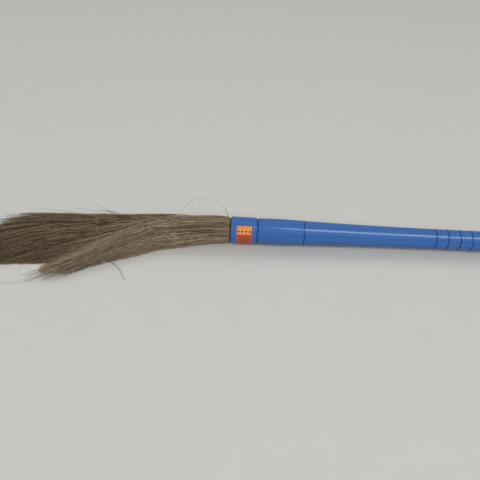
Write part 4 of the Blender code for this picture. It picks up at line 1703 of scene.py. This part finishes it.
@dataclass
class Studio:
    """The plain pale floor, the soft light and the camera at the photograph's angle."""

    axis: BroomAxis
    floor_size: float = 12.0
    light_colour: str = "f4f4f2"
    light_strength: float = 0.38
    background_colour: str = "c4c3bf"
    elevation: float = math.radians(38.0)
    roll: float = math.radians(2.3)
    distance: float = 0.670
    aim_along: float = 13.0 * MM
    aim_across: float = 2.0 * MM
    focal_pixels: float = 470.0
    frame_pixels: float = 480.0
    sensor: float = 36.0
    clip_start: float = 0.01
    lamps: tuple[Lamp, ...] = (
        Lamp("tube_light", math.radians(68.0), 2.1, (2.4, 0.26), 26.0, along=1.45, gloss_only=True),
        Lamp("soft_front_light", math.radians(43.0), 6.0, (7.0, 3.0), 368.0),
        Lamp("soft_rear_light", math.radians(130.0), 6.0, (7.0, 3.0), 125.0),
    )

    def facing(self, aim: Vector, elevation: float, distance: float, roll: float = 0.0) -> Matrix:
        """Where a lamp or camera stands that looks across the broom and down.

        Args:
            aim: The point that it faces.
            elevation: How high it stands over the front horizon; past a right angle it stands behind.
            distance: How far off it is.
            roll: How far it is turned about its line of sight.

        Returns:
            Its matrix.
        """
        back = Vector((0, -math.cos(elevation), math.sin(elevation)))
        right = Vector((1, 0, 0))
        up = back.cross(right)
        rolled_right = right * math.cos(roll) + up * math.sin(roll)
        rolled_up = up * math.cos(roll) - right * math.sin(roll)
        matrix = Matrix((rolled_right, rolled_up, back)).transposed().to_4x4()
        matrix.translation = aim + back * distance
        return matrix

    def build_floor(self) -> None:
        """Lay the floor."""
        half = self.floor_size / 2
        mesh = bpy.data.meshes.new("studio_floor")
        corners = [(-half, -half, 0), (half, -half, 0), (half, half, 0), (-half, half, 0)]
        mesh.from_pydata(corners, [], [(0, 1, 2, 3)])
        floor = new_object("studio_floor", mesh)
        mesh.materials.append(CoatedTable().material())

    def build_world(self) -> None:
        """Light the scene softly from all round, and show a pale background beyond the floor."""
        world = bpy.data.worlds.new("soft_room")
        bpy.context.scene.world = world
        world.use_nodes = True
        tree = world.node_tree
        tree.nodes.clear()
        looks = ((self.light_colour, self.light_strength), (self.background_colour, 1.0))
        light, seen = (add_node(tree, "Background", {"Color": linear_colour(colour), "Strength": strength})
                       for colour, strength in looks)
        path = add_node(tree, "LightPath", {}, "Is Camera Ray")
        add_node(tree, "OutputWorld", {"Surface": add_node(tree, "MixShader", {0: path, 1: light, 2: seen})})

    def build_lamps(self) -> None:
        """Hang a tube light, which draws the gloss line, and broad soft lights in front and behind."""
        for lamp in self.lamps:
            light = bpy.data.lights.new(lamp.name, "AREA")
            light.shape = "RECTANGLE"
            light.size, light.size_y = lamp.size
            light.energy = lamp.power
            hung = new_object(lamp.name, light)
            hung.visible_diffuse = not lamp.gloss_only
            hung.visible_glossy = lamp.gloss_only
            aim = Vector((lamp.along, self.axis.mouth.y, 0))
            hung.matrix_world = self.facing(aim, lamp.elevation, lamp.distance)

    def build_camera(self) -> None:
        """Set the camera at the photograph's place, angle and roll."""
        lens = bpy.data.cameras.new("camera")
        lens.sensor_width = self.sensor
        lens.lens = self.sensor * self.focal_pixels / self.frame_pixels
        lens.clip_start = self.clip_start
        camera = new_object("camera", lens)
        aim = Vector((self.axis.mouth.x + self.aim_along, self.axis.mouth.y + self.aim_across, 0))
        camera.matrix_world = self.facing(aim, self.elevation, self.distance, self.roll)
        bpy.context.scene.camera = camera

    def build(self) -> None:
        """Set up the whole studio."""
        bpy.context.scene.view_settings.view_transform = "Standard"
        self.build_floor()
        self.build_world()
        self.build_lamps()
        self.build_camera()


def dress_inner_pieces() -> None:
    """Give the twine, wires and peg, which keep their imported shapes, their materials."""
    finishes = {"hank_tie": TwistedJute().material(), "binding_wire": GalvanisedWire().material(),
                "core_peg": SplitBamboo().material()}
    for name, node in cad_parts.items():
        for start, material in finishes.items():
            if name.startswith(start):
                for place in node.material_slots:
                    place.material = material
                log.info("%s: %s", name, material.name)


def main() -> None:
    """Set up the studio, then build and dress the broom."""
    logging.basicConfig(level=logging.INFO, format="%(message)s")
    sizes = Sizes()
    axis = BroomAxis.from_frame(sizes)
    Studio(axis).build()
    for kind, name, node, finish in (
            (Collar, "moulded_collar", "collar", MouldedPolypropylene("polypropylene_injected_blue")),
            (Handle, "blown_handle", "handle_tube", MouldedPolypropylene("polypropylene_blown_blue")),
            (EndCap, "moulded_end_cap", "end_cap", MouldedPolypropylene("polypropylene_cap_blue"))):
        kind(sizes, axis, name, "blue_plastic", node).build(finish.material())
    paper = CoatedPaper("paper_coated_two_tone")
    Label(sizes, axis, "paper_label", "label_paper", "label").build(paper.material())
    fan = Fan(sizes, axis)
    grass = {row: layer.finish.material() for row, layer in LAYERS.items()}
    columns = range(len(GrassHank.column_edge_shares) - 1)
    places = [(row, column) for row in Row for column in columns]
    for number, (row, column) in enumerate(places, 1):
        hairs = [hair for hair in STRAY_HAIRS if hair.hank == number]
        hank = GrassHank(sizes, axis, f"grass_hank_{number}", LAYERS[row].slot, f"hank_{number}",
                         fan, number, row, column, hairs)
        hank.build(grass[row])
    dress_inner_pieces()


if __name__ == "__main__":
    main()
